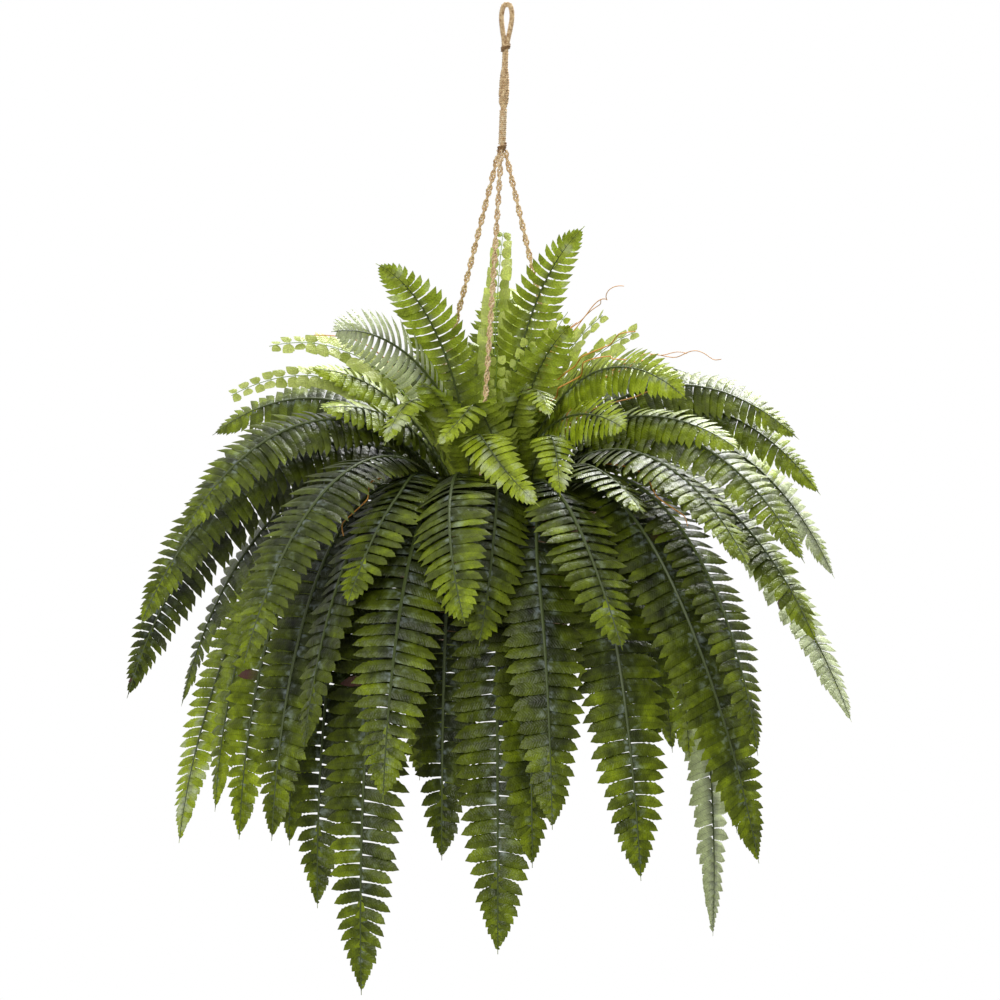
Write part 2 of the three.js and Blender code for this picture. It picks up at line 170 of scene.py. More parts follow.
# %% Points and paths
def unit(vectors):
    """Vectors of length one."""
    return vectors / np.maximum(np.linalg.norm(vectors, axis=-1, keepdims=True), 1e-9)


def chance(count, seed):
    """The same random numbers from 0 to 1 at every run: the fraction of a sine blown up by a large number."""
    return np.modf(np.abs(np.sin(np.arange(1, count + 1) * 12.9898 + seed * 78.233)) * 43758.5453)[0]


def smoothstep(x, low, high):
    """0 before low, 1 after high and 3t^2 - 2t^3 between."""
    t = np.clip((x - low) / (high - low), 0, 1)
    return t * t * (3 - 2 * t)


def at_crown(azimuth, reach, height):
    """A point at an azimuth in degrees and a reach from the crown's axis, and a height above the soil."""
    turn = np.radians(azimuth)
    return CROWN + np.stack(np.broadcast_arrays(reach * np.cos(turn), reach * np.sin(turn), height), axis=-1)


def outward_at(azimuth):
    """The level direction away from the crown's axis."""
    return at_crown(azimuth, 1.0, 0.0) - CROWN


def length_along(path):
    """The length run from a path's start to each of its points."""
    return np.concatenate([[0], np.cumsum(np.linalg.norm(np.diff(path, axis=0), axis=1))])


def at_lengths(at, run, values):
    """The values of a path's points, read at the lengths `at` along it."""
    return np.stack([np.interp(at, run, column) for column in values.T], axis=1)


def square_to(tangent, reference):
    """Normal and binormal for each tangent. The normal is the reference direction with its share along the
    tangent taken away."""
    normal = unit(reference - (reference * tangent).sum(-1, keepdims=True) * tangent)
    return normal, np.cross(tangent, normal)


def beside(path, reference, out, side):
    """A path moved off another one: `out` along its normal and `side` along its binormal."""
    normal, binormal = square_to(unit(np.gradient(path, axis=0)), reference)
    return path + normal * np.asarray(out)[..., None] + binormal * np.asarray(side)[..., None]


def tube(path, reference, radius, sides=6, ring=False, material=0):
    """A round rod along a path: at each point, a circle in the plane of its normal and binormal. A rod that
    isn't a ring is closed by drawing its last circles to a point. UVs run along it and round it."""
    radius = np.broadcast_to(radius, len(path)).astype(float)
    reference = np.broadcast_to(reference, path.shape)
    if ring:
        tangent = unit(np.roll(path, -1, axis=0) - np.roll(path, 1, axis=0))
    else:
        doubled_ends = np.r_[0, np.arange(len(path)), len(path) - 1]
        tangent = unit(np.gradient(path, axis=0))[doubled_ends]
        path, reference, radius = path[doubled_ends], reference[doubled_ends], radius[doubled_ends]
        radius[[0, -1]] = 1e-3
    normal, binormal = square_to(tangent, reference)
    angle = 2 * np.pi * np.arange(sides) / sides
    circle = np.cos(angle)[:, None] * normal[:, None] + np.sin(angle)[:, None] * binormal[:, None]
    points = path[:, None] + radius[:, None, None] * circle
    run = length_along(path)[:, None] / 10
    uv = np.stack(np.broadcast_arrays(run, angle[None] / (2 * np.pi)), axis=-1)
    rings = len(path)
    return make_part(points, ring_quads(rings + ring, sides) % (rings * sides), uv, material=material)


# %% [markdown]
# ## Materials
# Colours are written as sRGB hex values and turned to the linear values that Blender works in. One small
# function adds a node with its settings and its links, and every material below is put together with it.


# %% Material helpers
def linear(code):
    """Linear RGBA from an sRGB hex value such as 'a0b040'."""
    srgb = np.array([int(code[i : i + 2], 16) for i in (0, 2, 4)]) / 255
    rgb = np.where(srgb <= 0.04045, srgb / 12.92, ((srgb + 0.055) / 1.055) ** 2.4)
    return (*rgb.tolist(), 1.0)


def add_node(owner, kind, inputs=(), **settings):
    """A node with its settings. A kind in capitals is the operation of a Math node, and a Mix node mixes
    colours. Inputs go by name, or in order as a list. Each is a value, another node's output, or another
    node, which stands for its first output."""
    if kind.isupper():
        kind, settings = "Math", {"operation": kind, **settings}
    if kind == "Mix":
        settings = {"data_type": "RGBA", **settings}
    node = owner.node_tree.nodes.new("ShaderNode" + kind)
    for key, value in settings.items():
        setattr(node, key, value)
    in_order = [socket for socket in node.inputs if socket.enabled]
    for key in inputs if isinstance(inputs, dict) else range(len(inputs)):
        socket = in_order[key] if isinstance(key, int) else node.inputs[key]
        value = inputs[key]
        if isinstance(value, bpy.types.Node):
            value = [output for output in value.outputs if output.enabled][0]
        if isinstance(value, bpy.types.NodeSocket):
            owner.node_tree.links.new(value, socket)
        else:
            socket.default_value = value
    return node


def new_material(name):
    """A material without nodes, and the function that adds one to it."""
    material = bpy.data.materials.new(name)
    material.use_nodes = True
    material.node_tree.nodes.clear()
    return material, partial(add_node, material)


def patches(node, size, detail=2.0):
    """Noise with patches about `size` millimetres across, in the object's own space."""
    place = node("TexCoord").outputs["Object"]
    return node("TexNoise", {"Vector": place, "Scale": 1 / (size * MM), "Detail": detail})


def two_shades(node, shades, shade, height, strength, depth, roughness, **body):
    """Ends a material: two colours mixed by `shade`, and relief that follows `height`, `depth` mm deep."""
    bump = node("Bump", {"Height": height, "Strength": strength, "Distance": depth * MM})
    body = {"Base Color": node("Mix", [shade, *map(linear, shades)]), "Roughness": roughness, **body}
    node("OutputMaterial", [node("BsdfPrincipled", {**body, "Normal": bump})])


# %% [markdown]
# ## Jute cord
# The hanger is jute: coarse golden brown bast fibre, spun into strands. The rope of the loop and neck is a
# thick core with a fine twine wound round it. Each of the three long cords is a flat braid of strands in two
# shades that is twisted as it goes, so that it shows its broad face and its narrow edge in turn, every
# 13.5 mm. The strands are rods along paths that are worked out from the cord's own line, and fine stray
# fibres stand off them.


# %% Jute materials
def fibre_material(name, dark, light, spun, grain):
    """Spun fibre, rough and matt: streaks that run slantwise round the strand, `spun` turns in a centimetre,
    and grain of that many millimetres."""
    material, node = new_material(name)
    run, around, _ = node("SeparateXYZ", [node("UVMap", uv_map="UVMap")]).outputs
    turned = node("MULTIPLY_ADD", [run, spun, around])
    three_streaks = node("MULTIPLY", [turned, 2 * np.pi * 3])
    streak = node("SINE", [three_streaks])
    fuzzy = node("MULTIPLY_ADD", [patches(node, grain, 3.0), 2.0, -0.5])
    shade = node("MULTIPLY_ADD", [streak, 0.16, fuzzy], use_clamp=True)
    down = {"Sheen Weight": 0.25, "Sheen Roughness": 0.5}
    two_shades(node, (dark, light), shade, shade, 0.8, 0.35, roughness=0.9, **down)
    return material


jute = fibre_material("spun_jute", "9c7040", "fde4b4", spun=2.2, grain=2.6)
jute_twine = fibre_material("dark_jute_twine", "4a2c14", "b48a52", spun=3.0, grain=1.2)
pale_twine = fibre_material("pale_jute_twine", "c09258", "fff0cc", spun=3.0, grain=2.4)

# %% The hanger's lines
LOOP = {"eye": 2.3, "height": 31.0, "rope": 5.0}  # eye is half its width
ROPE = {"core": 2.1, "coil": 2.05, "twine": 0.5, "lay": 2.1, "open_twine": 0.42}
NECK = {"lean": np.radians(2.1), "bottom": 2.4, "served": -90.0}
CORD = {"diameter": 5.6, "top": -127.0, "spread": 3.2}
CORD_AZIMUTHS = {"cord_front": -96, "cord_right": 25, "cord_left": 139}
RIM = {"radius": 95.0, "roll": 3.6, "height": 6.0}
TIE = {"radius": 7.0, "rope": 2.0, "clear": 1.4}
BRAID = {"strand": 0.98, "wide": 2.15, "thick": 0.45, "step": 13.5, "turn": 27.0}
FIBRE = {"radius": 0.11, "points": 5, "sides": 3}


def lean(points):
    """Points of the upright hanger, turned with its neck about the Y axis."""
    cosine, sine = np.cos(NECK["lean"]), np.sin(NECK["lean"])
    return points @ np.array([[cosine, 0, -sine], [0, 1, 0], [sine, 0, cosine]])


def strands_round(path, reference, radius, lay, count):
    """Paths of `count` strands laid round a path: helices of that radius, one turn in `lay` millimetres."""
    turns = [2 * np.pi * (length_along(path) / lay + k / count) for k in range(count)]
    return [beside(path, reference, radius * np.cos(a), radius * np.sin(a)) for a in turns]


def braid_strands(path, reference):
    """Paths of three plaited strands. Strand k swings across the braid's broad way as wide sin(a) and
    through it as thick sin(2a), a third of a turn behind the last, and the braid turns about its line."""
    run = length_along(path)
    turned = 2 * np.pi * run / BRAID["turn"]
    found = []
    for k in range(3):
        a = 2 * np.pi * (run / BRAID["step"] + k / 3)
        broad, deep = BRAID["wide"] * np.sin(a), BRAID["thick"] * np.sin(2 * a)
        out = broad * np.cos(turned) - deep * np.sin(turned)
        side = broad * np.sin(turned) + deep * np.cos(turned)
        found.append(beside(path, reference, out, side))
    return found


def stray_fibres(path, reference, reach, spacing, seed, length=4.5):
    """Short fine fibres that stand off a rope: each leaves its surface at a random angle and bends along it.
    They are thin three-sided rods that narrow towards their ends."""
    run = length_along(path)
    count = int(run[-1] / spacing)
    at = chance(count, seed) * run[-1]
    tangent = unit(np.gradient(path, axis=0))
    known = (path, tangent, *square_to(tangent, reference))
    point, along, n, b = (at_lengths(at, run, values) for values in known)
    angle = 2 * np.pi * chance(count, seed + 1)[:, None]
    outward = n * np.cos(angle) + b * np.sin(angle)
    round_it = np.cross(along, outward)[:, None]
    size = (length * (0.4 + 0.6 * chance(count, seed + 2)))[:, None, None]
    forward = np.where(chance(count, seed + 3) > 0.5, 1.0, -1.0) * (0.5 + chance(count, seed + 4))
    drift = (chance(count, seed + 5) - 0.5)[:, None, None] * 1.6
    t = np.linspace(0, 1, FIBRE["points"])[None, :, None]
    bent = along[:, None] * forward[:, None, None] * t**1.6 * 0.8 + round_it * drift * t**2 * 0.6
    risen = outward[:, None] * (0.62 * t - 0.2 * t**2)
    lines = (point + outward * reach * 0.8)[:, None] + size * (risen + bent)
    angles = 2 * np.pi * np.arange(FIBRE["sides"])[:, None] / FIBRE["sides"]
    ring = np.cos(angles) * round_it[:, None] + np.sin(angles) * along[:, None, None]
    points = lines[:, :, None] + ring * FIBRE["radius"] * (1 - 0.85 * t[..., None])
    quads = ring_quads(FIBRE["points"], FIBRE["sides"])
    return make_part(points, copied_quads(quads, count, FIBRE["points"] * FIBRE["sides"]))


# %% [markdown]
# ## The three long cords
# Each cord leaves the neck's lower end, runs straight and taut to its tie on the basket's rim, and is as
# long as that line.

# %% Long cords
neck_end = lean(np.array([0, 0, CORD["top"]]))
fuzz = []
for name, azimuth in CORD_AZIMUTHS.items():
    outward = outward_at(azimuth)
    top = neck_end + outward * CORD["spread"]
    knot = at_crown(azimuth, RIM["radius"], RIM["height"])
    end = knot + unit(top - knot) * (TIE["radius"] + TIE["rope"] + TIE["clear"])
    length = np.linalg.norm(end - top)
    line = top + (end - top) * np.linspace(0, 1, 25)[:, None]
    fine = top + (end - top) * np.linspace(0, 1, int(length / 1.15))[:, None]
    paths = braid_strands(fine, outward)
    strands = [tube(path, outward, BRAID["strand"], material=k % 2) for k, path in enumerate(paths)]
    piece = make_piece(f"braided_{name}", strands, [jute, pale_twine], sharp=80)
    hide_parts(name)
    fuzz.append(stray_fibres(fine, outward, reach=2.2, spacing=3.2, seed=azimuth))
    print(name, round(length, 1), "mm")

# %% [markdown]
# ## Loop and neck
# The doubled rope makes the loop's eye, is bound by a dark twine below it and runs down as the neck. The
# neck's core is four strands laid round each other, thick below its middle, with a fine twine wound openly
# over them. Pale twine is wound closely round the neck's foot, and a dark twine is knotted below it, where
# the three cords come out.


# %% Loop and neck
def smooth_line(controls, steps):
    """A Catmull-Rom curve through points, evenly in each stretch."""
    controls = np.array([2 * controls[0] - controls[1], *controls, 2 * controls[-1] - controls[-2]])
    place = np.linspace(0, len(controls) - 3 - 1e-9, steps)
    i, t = place.astype(int), (place % 1)[:, None]
    a, b, c, d = (controls[i + k] for k in range(4))
    return 0.5 * (2 * b + (c - a) * t + (2 * a - 5 * b + 4 * c - d) * t**2 + (3 * b - a - 3 * c + d) * t**3)


def neck_reach(heights):
    """The neck's half width at each height: slim at both ends, a spindle below its middle."""
    known = [-127, NECK["served"], -84, -76, -62, -53, -33]
    return np.interp(heights, known, [NECK["bottom"], NECK["bottom"], 4.2, 4.6, 4.1, 2.7, 2.6])


eye, low = LOOP["eye"], -LOOP["height"]
half_eye = [(1.3, low - 6), (1.7, low + 2), (eye + 1.2, 0.62 * low)]
half_eye += [(eye + 2.4, 0.26 * low), (1.4 * eye, 0.6)]
left_half = [(-x, 0, z) for x, z in half_eye]
right_half = [(x, 0, z) for x, z in half_eye[::-1]]
eye_line = np.array([*left_half, (0, 0, LOOP["rope"] / 2), *right_half], float)
eye_path, eye_fine = lean(smooth_line(eye_line, 180)), lean(smooth_line(eye_line, 900))
coil = strands_round(eye_fine, SIDE, ROPE["coil"], ROPE["lay"], count=1)[0]
parts = [tube(eye_path, SIDE, ROPE["core"], 12), tube(coil, unit(coil - eye_fine), ROPE["twine"], 5)]

heights = np.linspace(-33, -126, 130)
neck_path = lean(heights[:, None] * UP)
neck_width = neck_reach(heights)
neck_strands = strands_round(neck_path, SIDE, neck_width * 0.56, lay=34.0, count=4)
parts += [tube(strand, SIDE, neck_width * 0.47, 8) for strand in neck_strands]
# a fine twine wound openly over them, crossed at the foot of the thick part
for lay, first, last in ((2.3, -34, -86), (-7.0, -74, -90)):
    heights = np.linspace(first, last, int(16 * (first - last) / abs(lay)))
    around = 2 * np.pi * (heights - first) / lay
    ring = np.stack([np.cos(around), np.sin(around), 0 * around], axis=1)
    coil = lean(ring * (neck_reach(heights) - 0.05)[:, None] + heights[:, None] * UP)
    parts.append(tube(coil, lean(ring), ROPE["open_twine"], 5))
piece = make_piece("jute_loop_and_neck", parts, [jute], sharp=80)
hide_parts("hanging_loop")
fuzz.append(stray_fibres(eye_path, SIDE, reach=2.2, spacing=2.6, seed=3, length=3.0))
fuzz.append(stray_fibres(neck_path, SIDE, reach=3.2, spacing=1.6, seed=4, length=3.5))


def winding(low_end, high_end, radius, strand, slant):
    """Twine wound round the neck, as its path and its outward directions: a helix whose turns lie twice
    `strand` apart, a little uneven, and tilted by `slant`."""
    turns = (high_end - low_end) / (2 * strand)
    a = np.linspace(0, 2 * np.pi * turns, int(24 * turns))
    ring = np.stack([np.cos(a), np.sin(a), 0 * a], axis=1)
    heights = high_end + (low_end - high_end) * a / a[-1] + slant * np.cos(a)
    wander = 1 + 0.05 * np.sin(a * 0.37)
    return lean(ring * (radius * wander)[:, None] + heights[:, None] * UP), ring


# lower end, upper end, radius, half the step from turn to turn, tilt
knot_at_foot = tube(*winding(-127.5, -122, 3.3, 0.95, 1.5), 1.0, material=1)
for name, twine, (*place, strand, slant), more in [
    ("loop_binding", jute_twine, (-38, -34, 3.7, 0.75, 1.3), []),
    ("neck_whipping", pale_twine, (-121, -91, 2.6, 0.9, 0.2), [knot_at_foot]),
]:
    parts = [tube(*winding(*place, strand, slant), strand * 1.05), *more]
    piece = make_piece(f"wound_{name}", parts, [twine, jute_twine], 80)
    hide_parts(name)


# %% Ties
def laid_ring(centre, ways, radius, off, turns, strand, steps):
    """Three rods laid round a ring. `ways` are two directions in its plane and its axis. At the angle a round
    the ring, rod k stands off its line by `off`, at the angle turns a + 2 pi k / 3 round that line."""
    first, second, axis = ways
    a = np.linspace(0, 2 * np.pi, steps, endpoint=False)[:, None]
    way = first * np.cos(a) + second * np.sin(a)
    turned = [turns * a + 2 * np.pi * k / 3 for k in range(3)]
    rods = [centre + way * (radius + off * np.cos(t)) + axis * off * np.sin(t) for t in turned]
    return [tube(rod, axis, strand, ring=True) for rod in rods]


for name, azimuth in CORD_AZIMUTHS.items():
    knot = at_crown(azimuth, RIM["radius"], RIM["height"])
    ways = outward_at(azimuth), UP, outward_at(azimuth + 90)
    parts = laid_ring(knot, ways, TIE["radius"], off=0.95, turns=5, strand=1.05, steps=72)
    piece = make_piece(f"laid_tie_{name[5:]}", parts, [jute], sharp=80)
    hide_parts(f"tie_{name[5:]}")

hanger_fuzz = make_piece("hanger_stray_fibres", fuzz, [jute], sharp=80)
print("hanger fibres", 2 * len(hanger_fuzz.data.polygons), "triangles")

# %% [markdown]
# ## The basket
# Upright stakes stand round a woven foot, and long rods are woven in and out of them, every second row the
# other way. A rod's path is a ring whose radius swings by one wave for each pair of stakes. A coir liner
# keeps the soil in, and a twisted roll of three rods finishes the rim.


# %% Basket materials
def streaked_material(name, dark, light, stretch, streak, shares, relief, roughness):
    """A rod or a stalk: streaks along it, from UVs that are scaled by `stretch` along and round it. `shares`
    are what larger patches and the streaks add to its shade, and `relief` their depth in millimetres."""
    material, node = new_material(name)
    scaled = node("Mapping", {"Vector": node("UVMap", uv_map="UVMap"), "Scale": (*stretch, 1.0)})
    streaks = node("TexNoise", {"Vector": scaled, "Scale": 10 / streak})
    shade = node("MULTIPLY", [streaks, shares[1]])
    shade = node("MULTIPLY_ADD", [patches(node, 18.0), shares[0], shade])
    two_shades(node, (dark, light), shade, streaks, 0.5, relief, roughness)
    return material


# peeled willow: brown rods with grain along them and darker, drier patches
WILLOW = {"stretch": (0.6, 6.0), "streak": 3.0, "shares": (0.6, 0.5), "relief": 0.4, "roughness": 0.7}
willow = streaked_material("peeled_willow", "3f2c1c", "94714a", **WILLOW)
coir = fibre_material("coir_liner", "3a2716", "7a5532", spun=0.5, grain=1.6)

# %% Basket
BASKET = {"base": 66.0, "depth": 126.0, "rows": 20, "stakes": 20, "inset": 1.4, "weave": 2.4}
ROD = {"stake": 1.7, "rim": 1.75, "spoke": 1.3, "foot": 1.7}  # radius

bottom = RIM["height"] + RIM["roll"] - BASKET["depth"]
top = RIM["height"] - RIM["roll"]
row_height = (top - bottom) / BASKET["rows"]


def wall_radius(height):
    """The wall's radius, from the foot's at the bottom to the rim's at the top."""
    return BASKET["base"] + (RIM["radius"] - BASKET["base"]) * (height - bottom) / (top - bottom)


parts = []
angle = np.linspace(0, 2 * np.pi, 8 * BASKET["stakes"], endpoint=False)
for row in range(BASKET["rows"]):
    height = bottom + (row + 0.5) * row_height
    swing = np.cos(angle * BASKET["stakes"] / 2 + np.pi * row)
    sag = 0.3 * np.sin(3 * angle + row)
    reach = wall_radius(height) - BASKET["inset"] + BASKET["weave"] * swing
    rod = at_crown(np.degrees(angle), reach, height + sag)
    parts.append(tube(rod, UP, 0.5 * row_height, ring=True))
for stake in range(BASKET["stakes"]):
    heights = np.linspace(bottom + 1.5, top + 1, 14)
    azimuth = 360 * (stake + 0.5) / BASKET["stakes"]
    rod = at_crown(azimuth, wall_radius(heights) - BASKET["inset"], heights)
    parts.append(tube(rod, outward_at(azimuth), ROD["stake"]))

# the rolled rim: three rods twisted round its middle line
middle, roll = CROWN + RIM["height"] * UP, {"off": 1.7, "turns": 24, "strand": ROD["rim"], "steps": 240}
parts += laid_ring(middle, np.eye(3), RIM["radius"], **roll)

# the foot: crossed spokes with a rod wound round them from the middle outwards
spoke = np.linspace(-BASKET["base"] + 1.5, BASKET["base"] - 1.5, 24)
parts += [tube(at_crown(azimuth, spoke, bottom + 2.2), UP, ROD["spoke"]) for azimuth in range(0, 180, 18)]
turns = 17
spiral = np.linspace(2 * np.pi, 2 * np.pi * turns, 60 * turns)
reach = (BASKET["base"] - 3) * spiral / spiral[-1]
swing = 0.9 * np.cos(spiral * 10.5) * smoothstep(reach, 8, 20)
parts.append(tube(at_crown(np.degrees(spiral), reach, bottom + 2.2 + swing), UP, ROD["foot"]))
print("basket rods", sum(2 * len(p["quads"]) for p in parts), "triangles")

# %% Liner
# a shell turned round the crown's axis from reach and height pairs, closed on the axis
low, high, side_count = bottom + 4.4, RIM["height"] + 0.5, 60
outside = [[0.01, low], [BASKET["base"] - 5, low], [wall_radius(high) - 5.2, high]]
inside = [[wall_radius(high) - 7.0, high + 0.6], [BASKET["base"] - 7, low + 1.8], [0.01, low + 1.8]]
profile = np.array(outside + inside)[:, None]
azimuth = 360 * np.arange(side_count) / side_count
points = at_crown(azimuth, profile[..., 0], profile[..., 1])
uv = np.stack(np.broadcast_arrays(azimuth / 36, profile[..., 1] / 10), axis=-1)
parts.append(make_part(points, ring_quads(len(profile), side_count)[:, ::-1], uv, material=1))
piece = make_piece("woven_basket", parts, [willow, coir], sharp=60)
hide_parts("basket")

# %% [markdown]
# ## Soil and moss
# Potting soil is dark and crumbly. Its top is a round grid lifted by a few sine waves of different lengths,
# and it is strewn with crumbs and with low cushions of moss, which are flattened lumpy balls.


# %% Soil materials
def crumbly_material(name, dark, light, crumb):
    """A rough crumbly surface: crumbs of that many millimetres and larger patches, in two shades."""
    material, node = new_material(name)
    crumbs = patches(node, crumb, 6.0)
    shade = node("MULTIPLY", [crumbs, 0.6])
    shade = node("MULTIPLY_ADD", [patches(node, 24.0), 0.4, shade])
    two_shades(node, (dark, light), shade, crumbs, 0.9, 1.5, roughness=0.95)
    return material


# damp peat is nearly black with paler crumbs; moss is a soft yellow-green felt
potting_soil = crumbly_material("potting_soil", "1c130c", "5a4330", crumb=3.0)
moss = crumbly_material("cushion_moss", "34420e", "90a236", crumb=1.2)

# %% Soil
SOIL = {"radius": 82.0, "foot": 60.0, "depth": 62.0}
CRUMBS = {"count": 500, "seed": 21, "smallest": 0.8, "spread": 2.2, "flat": 1.0, "rough": 0.35}
CRUMBS |= {"rows": 5, "sides": 6, "material": 0}
CUSHIONS = {"count": 130, "seed": 31, "smallest": 3.5, "spread": 5.5, "flat": 0.42, "rough": 0.2}
CUSHIONS |= {"rows": 9, "sides": 14, "material": 1}


def soil_lift(x, y):
    """Height of the soil's surface: sine waves 9 to 40 mm long across each other."""
    broad = 1.6 * np.sin(x / 6.1 + 1.3 * np.sin(y / 9.0)) + 1.2 * np.sin(y / 4.7 + 0.9 * np.sin(x / 5.0))
    return broad + 0.7 * np.sin((x + y) / 1.9) * np.sin((x - y) / 2.3)


def strewn_lumps(count, seed, smallest, spread, flat, rough, rows, sides, material):
    """Lumpy balls strewn evenly over the soil: smallest + spread c^3 in radius, where c is a chance, and
    `flat` as high as they are wide. `rough` is how far their points stray."""
    azimuth = 360 * chance(count, seed)
    reach = (SOIL["radius"] - 4 - smallest) * np.sqrt(chance(count, seed + 1))
    size = smallest + spread * chance(count, seed + 2) ** 3
    lift = soil_lift(reach * np.cos(np.radians(azimuth)), reach * np.sin(np.radians(azimuth)))
    centre = at_crown(azimuth, reach, lift * 0.8 + 0.3 * size * flat)
    polar = np.linspace(0, np.pi, rows)[:, None]
    turn = 2 * np.pi * np.arange(sides) / sides
    level, upright = np.sin(polar), flat * np.cos(polar)
    ball = np.broadcast_arrays(level * np.cos(turn), level * np.sin(turn), upright)
    lumps = 1 + rough * (chance(count * rows * sides, seed + 3).reshape(count, rows, sides, 1) - 0.5)
    lumps[:, [0, -1]] = 1
    points = centre[:, None, None] + np.stack(ball, axis=-1) * lumps * size[:, None, None, None]
    return make_part(points, copied_quads(ring_quads(rows, sides), count, rows * sides), material=material)


side_count = 96
azimuth = 360 * np.arange(side_count) / side_count
reaches = np.linspace(0.01, SOIL["radius"] - 1.5, 40)[:, None]
heights = soil_lift(reaches * np.cos(np.radians(azimuth)), reaches * np.sin(np.radians(azimuth)))
surface = at_crown(azimuth, reaches, heights * (1 - 0.6 * (reaches / SOIL["radius"]) ** 4) - 0.5)
below = np.array([[SOIL["radius"] - 3, -6.0], [SOIL["foot"], -SOIL["depth"]], [0.01, -SOIL["depth"]]])
whole = np.concatenate([surface, at_crown(azimuth, below[:, :1], below[:, 1:])])
parts = [make_part(whole, ring_quads(len(whole), side_count))]
parts += [strewn_lumps(**lumps) for lumps in (CRUMBS, CUSHIONS)]
piece = make_piece("crumbly_soil", parts, [potting_soil, moss], sharp=80)
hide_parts("soil")
print("soil", 2 * len(piece.data.polygons), "triangles")

# %% [markdown]
# ## Fern leaf
# A leaflet is a thin waxy sheet. Its upper face is glossy enough to catch pale highlights, its lower face is
# lighter and duller, and light passes through it, which turns the shaded side of a lit frond yellow-green.
# Side veins lean towards the tip every 1.6 mm; they are drawn 2.4 mm apart, so that they show.

# %% Leaf materials
VEIN_PITCH = 0.24  # cm, between side veins
MOTTLE, SPECKLE = 14.0, 2.2  # mm, size of the uneven patches of green and of the fine grain
PAINTED_SHEEN_SIZE, CREASE = 7.0, 6.5  # mm, size of the patches of painted sheen beside the rib and of the blade's waves
LIT = {"through": 0.2, "glow": "f8ff30"}  # the share of light through a frond, and its colour behind


def leaf_material(name, shades, zone_shades, blush_shade, roughness, through, glow):
    """A leaf blade. `shades` runs from the oldest, darkest green to the youngest, palest, and a leaflet's
    tone picks
    a place in it: its age and, on fronds, also painted light, painted shade at the dark end and a painted
    highlight at the pale end. `through` is the share of light that goes through the blade and `glow` its
    colour on the far side. `zone_shades` are the dull zone beside the rib, its painted sheen, a pale
    reflection painted in patches, and the leaflets' tips."""
    material, node = new_material(name)
    rib_shade, painted_sheen_shade, tip_shade = (linear(shade) for shade in zone_shades)
    leaf = node("Attribute", attribute_name="leaf")
    tone, edge, blush = node("SeparateColor", [leaf]).outputs
    run_out = leaf.outputs["Alpha"]
    run, across, _ = node("SeparateXYZ", [node("UVMap", uv_map="UVMap")]).outputs

    # green by tone (age, and on fronds painted shade and painted highlight), uneven patches and a fine grain
    mottle, grain = patches(node, MOTTLE), patches(node, SPECKLE, 1.0)
    mottled_tone = node("ADD", [node("MULTIPLY_ADD", [mottle, 0.75, -0.375]), tone], use_clamp=True)
    colour = node("ValToRGB", [mottled_tone])
    for spare in range(len(shades) - 2):
        colour.color_ramp.elements.new(0.5)
    for k, (element, shade) in enumerate(zip(colour.color_ramp.elements, shades)):
        element.position = k / (len(shades) - 1)
        element.color = linear(shade)

    # side veins lean away from the midrib
    lean_on = node("MULTIPLY_ADD", [node("ABSOLUTE", [across]), -0.7, run])
    wave = node("SINE", [node("MULTIPLY", [lean_on, 2 * np.pi / VEIN_PITCH])])
    light = node("MULTIPLY_ADD", [wave, 0.07, node("MULTIPLY_ADD", [grain, 0.5, 0.75])])
    colour = node("Mix", [1.0, colour, node("CombineColor", [light, light, light])], blend_type="MULTIPLY")

    # a dull zone beside the rib with a painted sheen in patches, a pale bluish reflection painted into the
    # colour, paler tips, the midrib's own line and, on a few leaflets, a wine red blush
    painted_sheen = node("MULTIPLY_ADD", [patches(node, PAINTED_SHEEN_SIZE, 3.0), 5.0, -2.6], use_clamp=True)
    zone = node("Mix", [painted_sheen, rib_shade, painted_sheen_shade])
    near_rib = node("MULTIPLY_ADD", [run_out, -2.2, 0.6])
    near_rib = node("MULTIPLY_ADD", [mottle, 0.7, near_rib], use_clamp=True)
    colour = node("Mix", [node("MULTIPLY_ADD", [run_out, 0.7, -0.35], use_clamp=True), colour, tip_shade])
    colour = node("Mix", [node("MULTIPLY", [near_rib, 0.7]), colour, zone])
    colour = node("Mix", [node("MULTIPLY_ADD", [edge, -5.0, 0.4], use_clamp=True), colour, rib_shade])
    outer = node("MULTIPLY", [blush, node("MULTIPLY", [run_out, 1.7], use_clamp=True)])
    colour = node("Mix", [outer, colour, linear(blush_shade)])

    height = node("MULTIPLY_ADD", [grain, 2.0, node("MULTIPLY", [wave, 0.45])])
    waves = node("Bump", {"Height": patches(node, CREASE), "Strength": 0.7, "Distance": 2.2 * MM})
    relief = {"Height": height, "Strength": 0.4, "Distance": 0.35 * MM, "Normal": waves}
    wax = {"Base Color": colour, "Roughness": roughness, "Specular IOR Level": 0.32}
    near_side = node("BsdfPrincipled", {**wax, "Normal": node("Bump", relief)})
    passed = node("Mix", [1.0, colour, linear(glow)], blend_type="MULTIPLY")
    passed = node("Mix", [0.5, passed, colour], blend_type="ADD")
    far_side = node("BsdfTranslucent", {"Color": passed})
    node("OutputMaterial", [node("MixShader", [through, near_side, far_side])])
    return material


# old dark green to fresh pale green: the darkest also serve as painted shade inside the plant, the whitish
# last as a painted highlight
FROND_SHADES = ["171c04", "384208", "5e6c0e", "8a9c12", "b0c22c", "d0d9b0"]
# the dull zone beside the rib, its painted sheen, a pale bluish painted reflection, and the tips
TOP_ZONE = ["262c1e", "98a4ac", "7a862c"]
pinna_top = leaf_material("fern_pinna_upper_face", FROND_SHADES, TOP_ZONE, "5e3438", roughness=0.4, **LIT)
# the lower face's greens, with painted shade and a painted highlight at their ends in the same way
UNDER_SHADES = ["242a0c", "465212", "6a781a", "92a222", "b4c444", "d4dcba"]
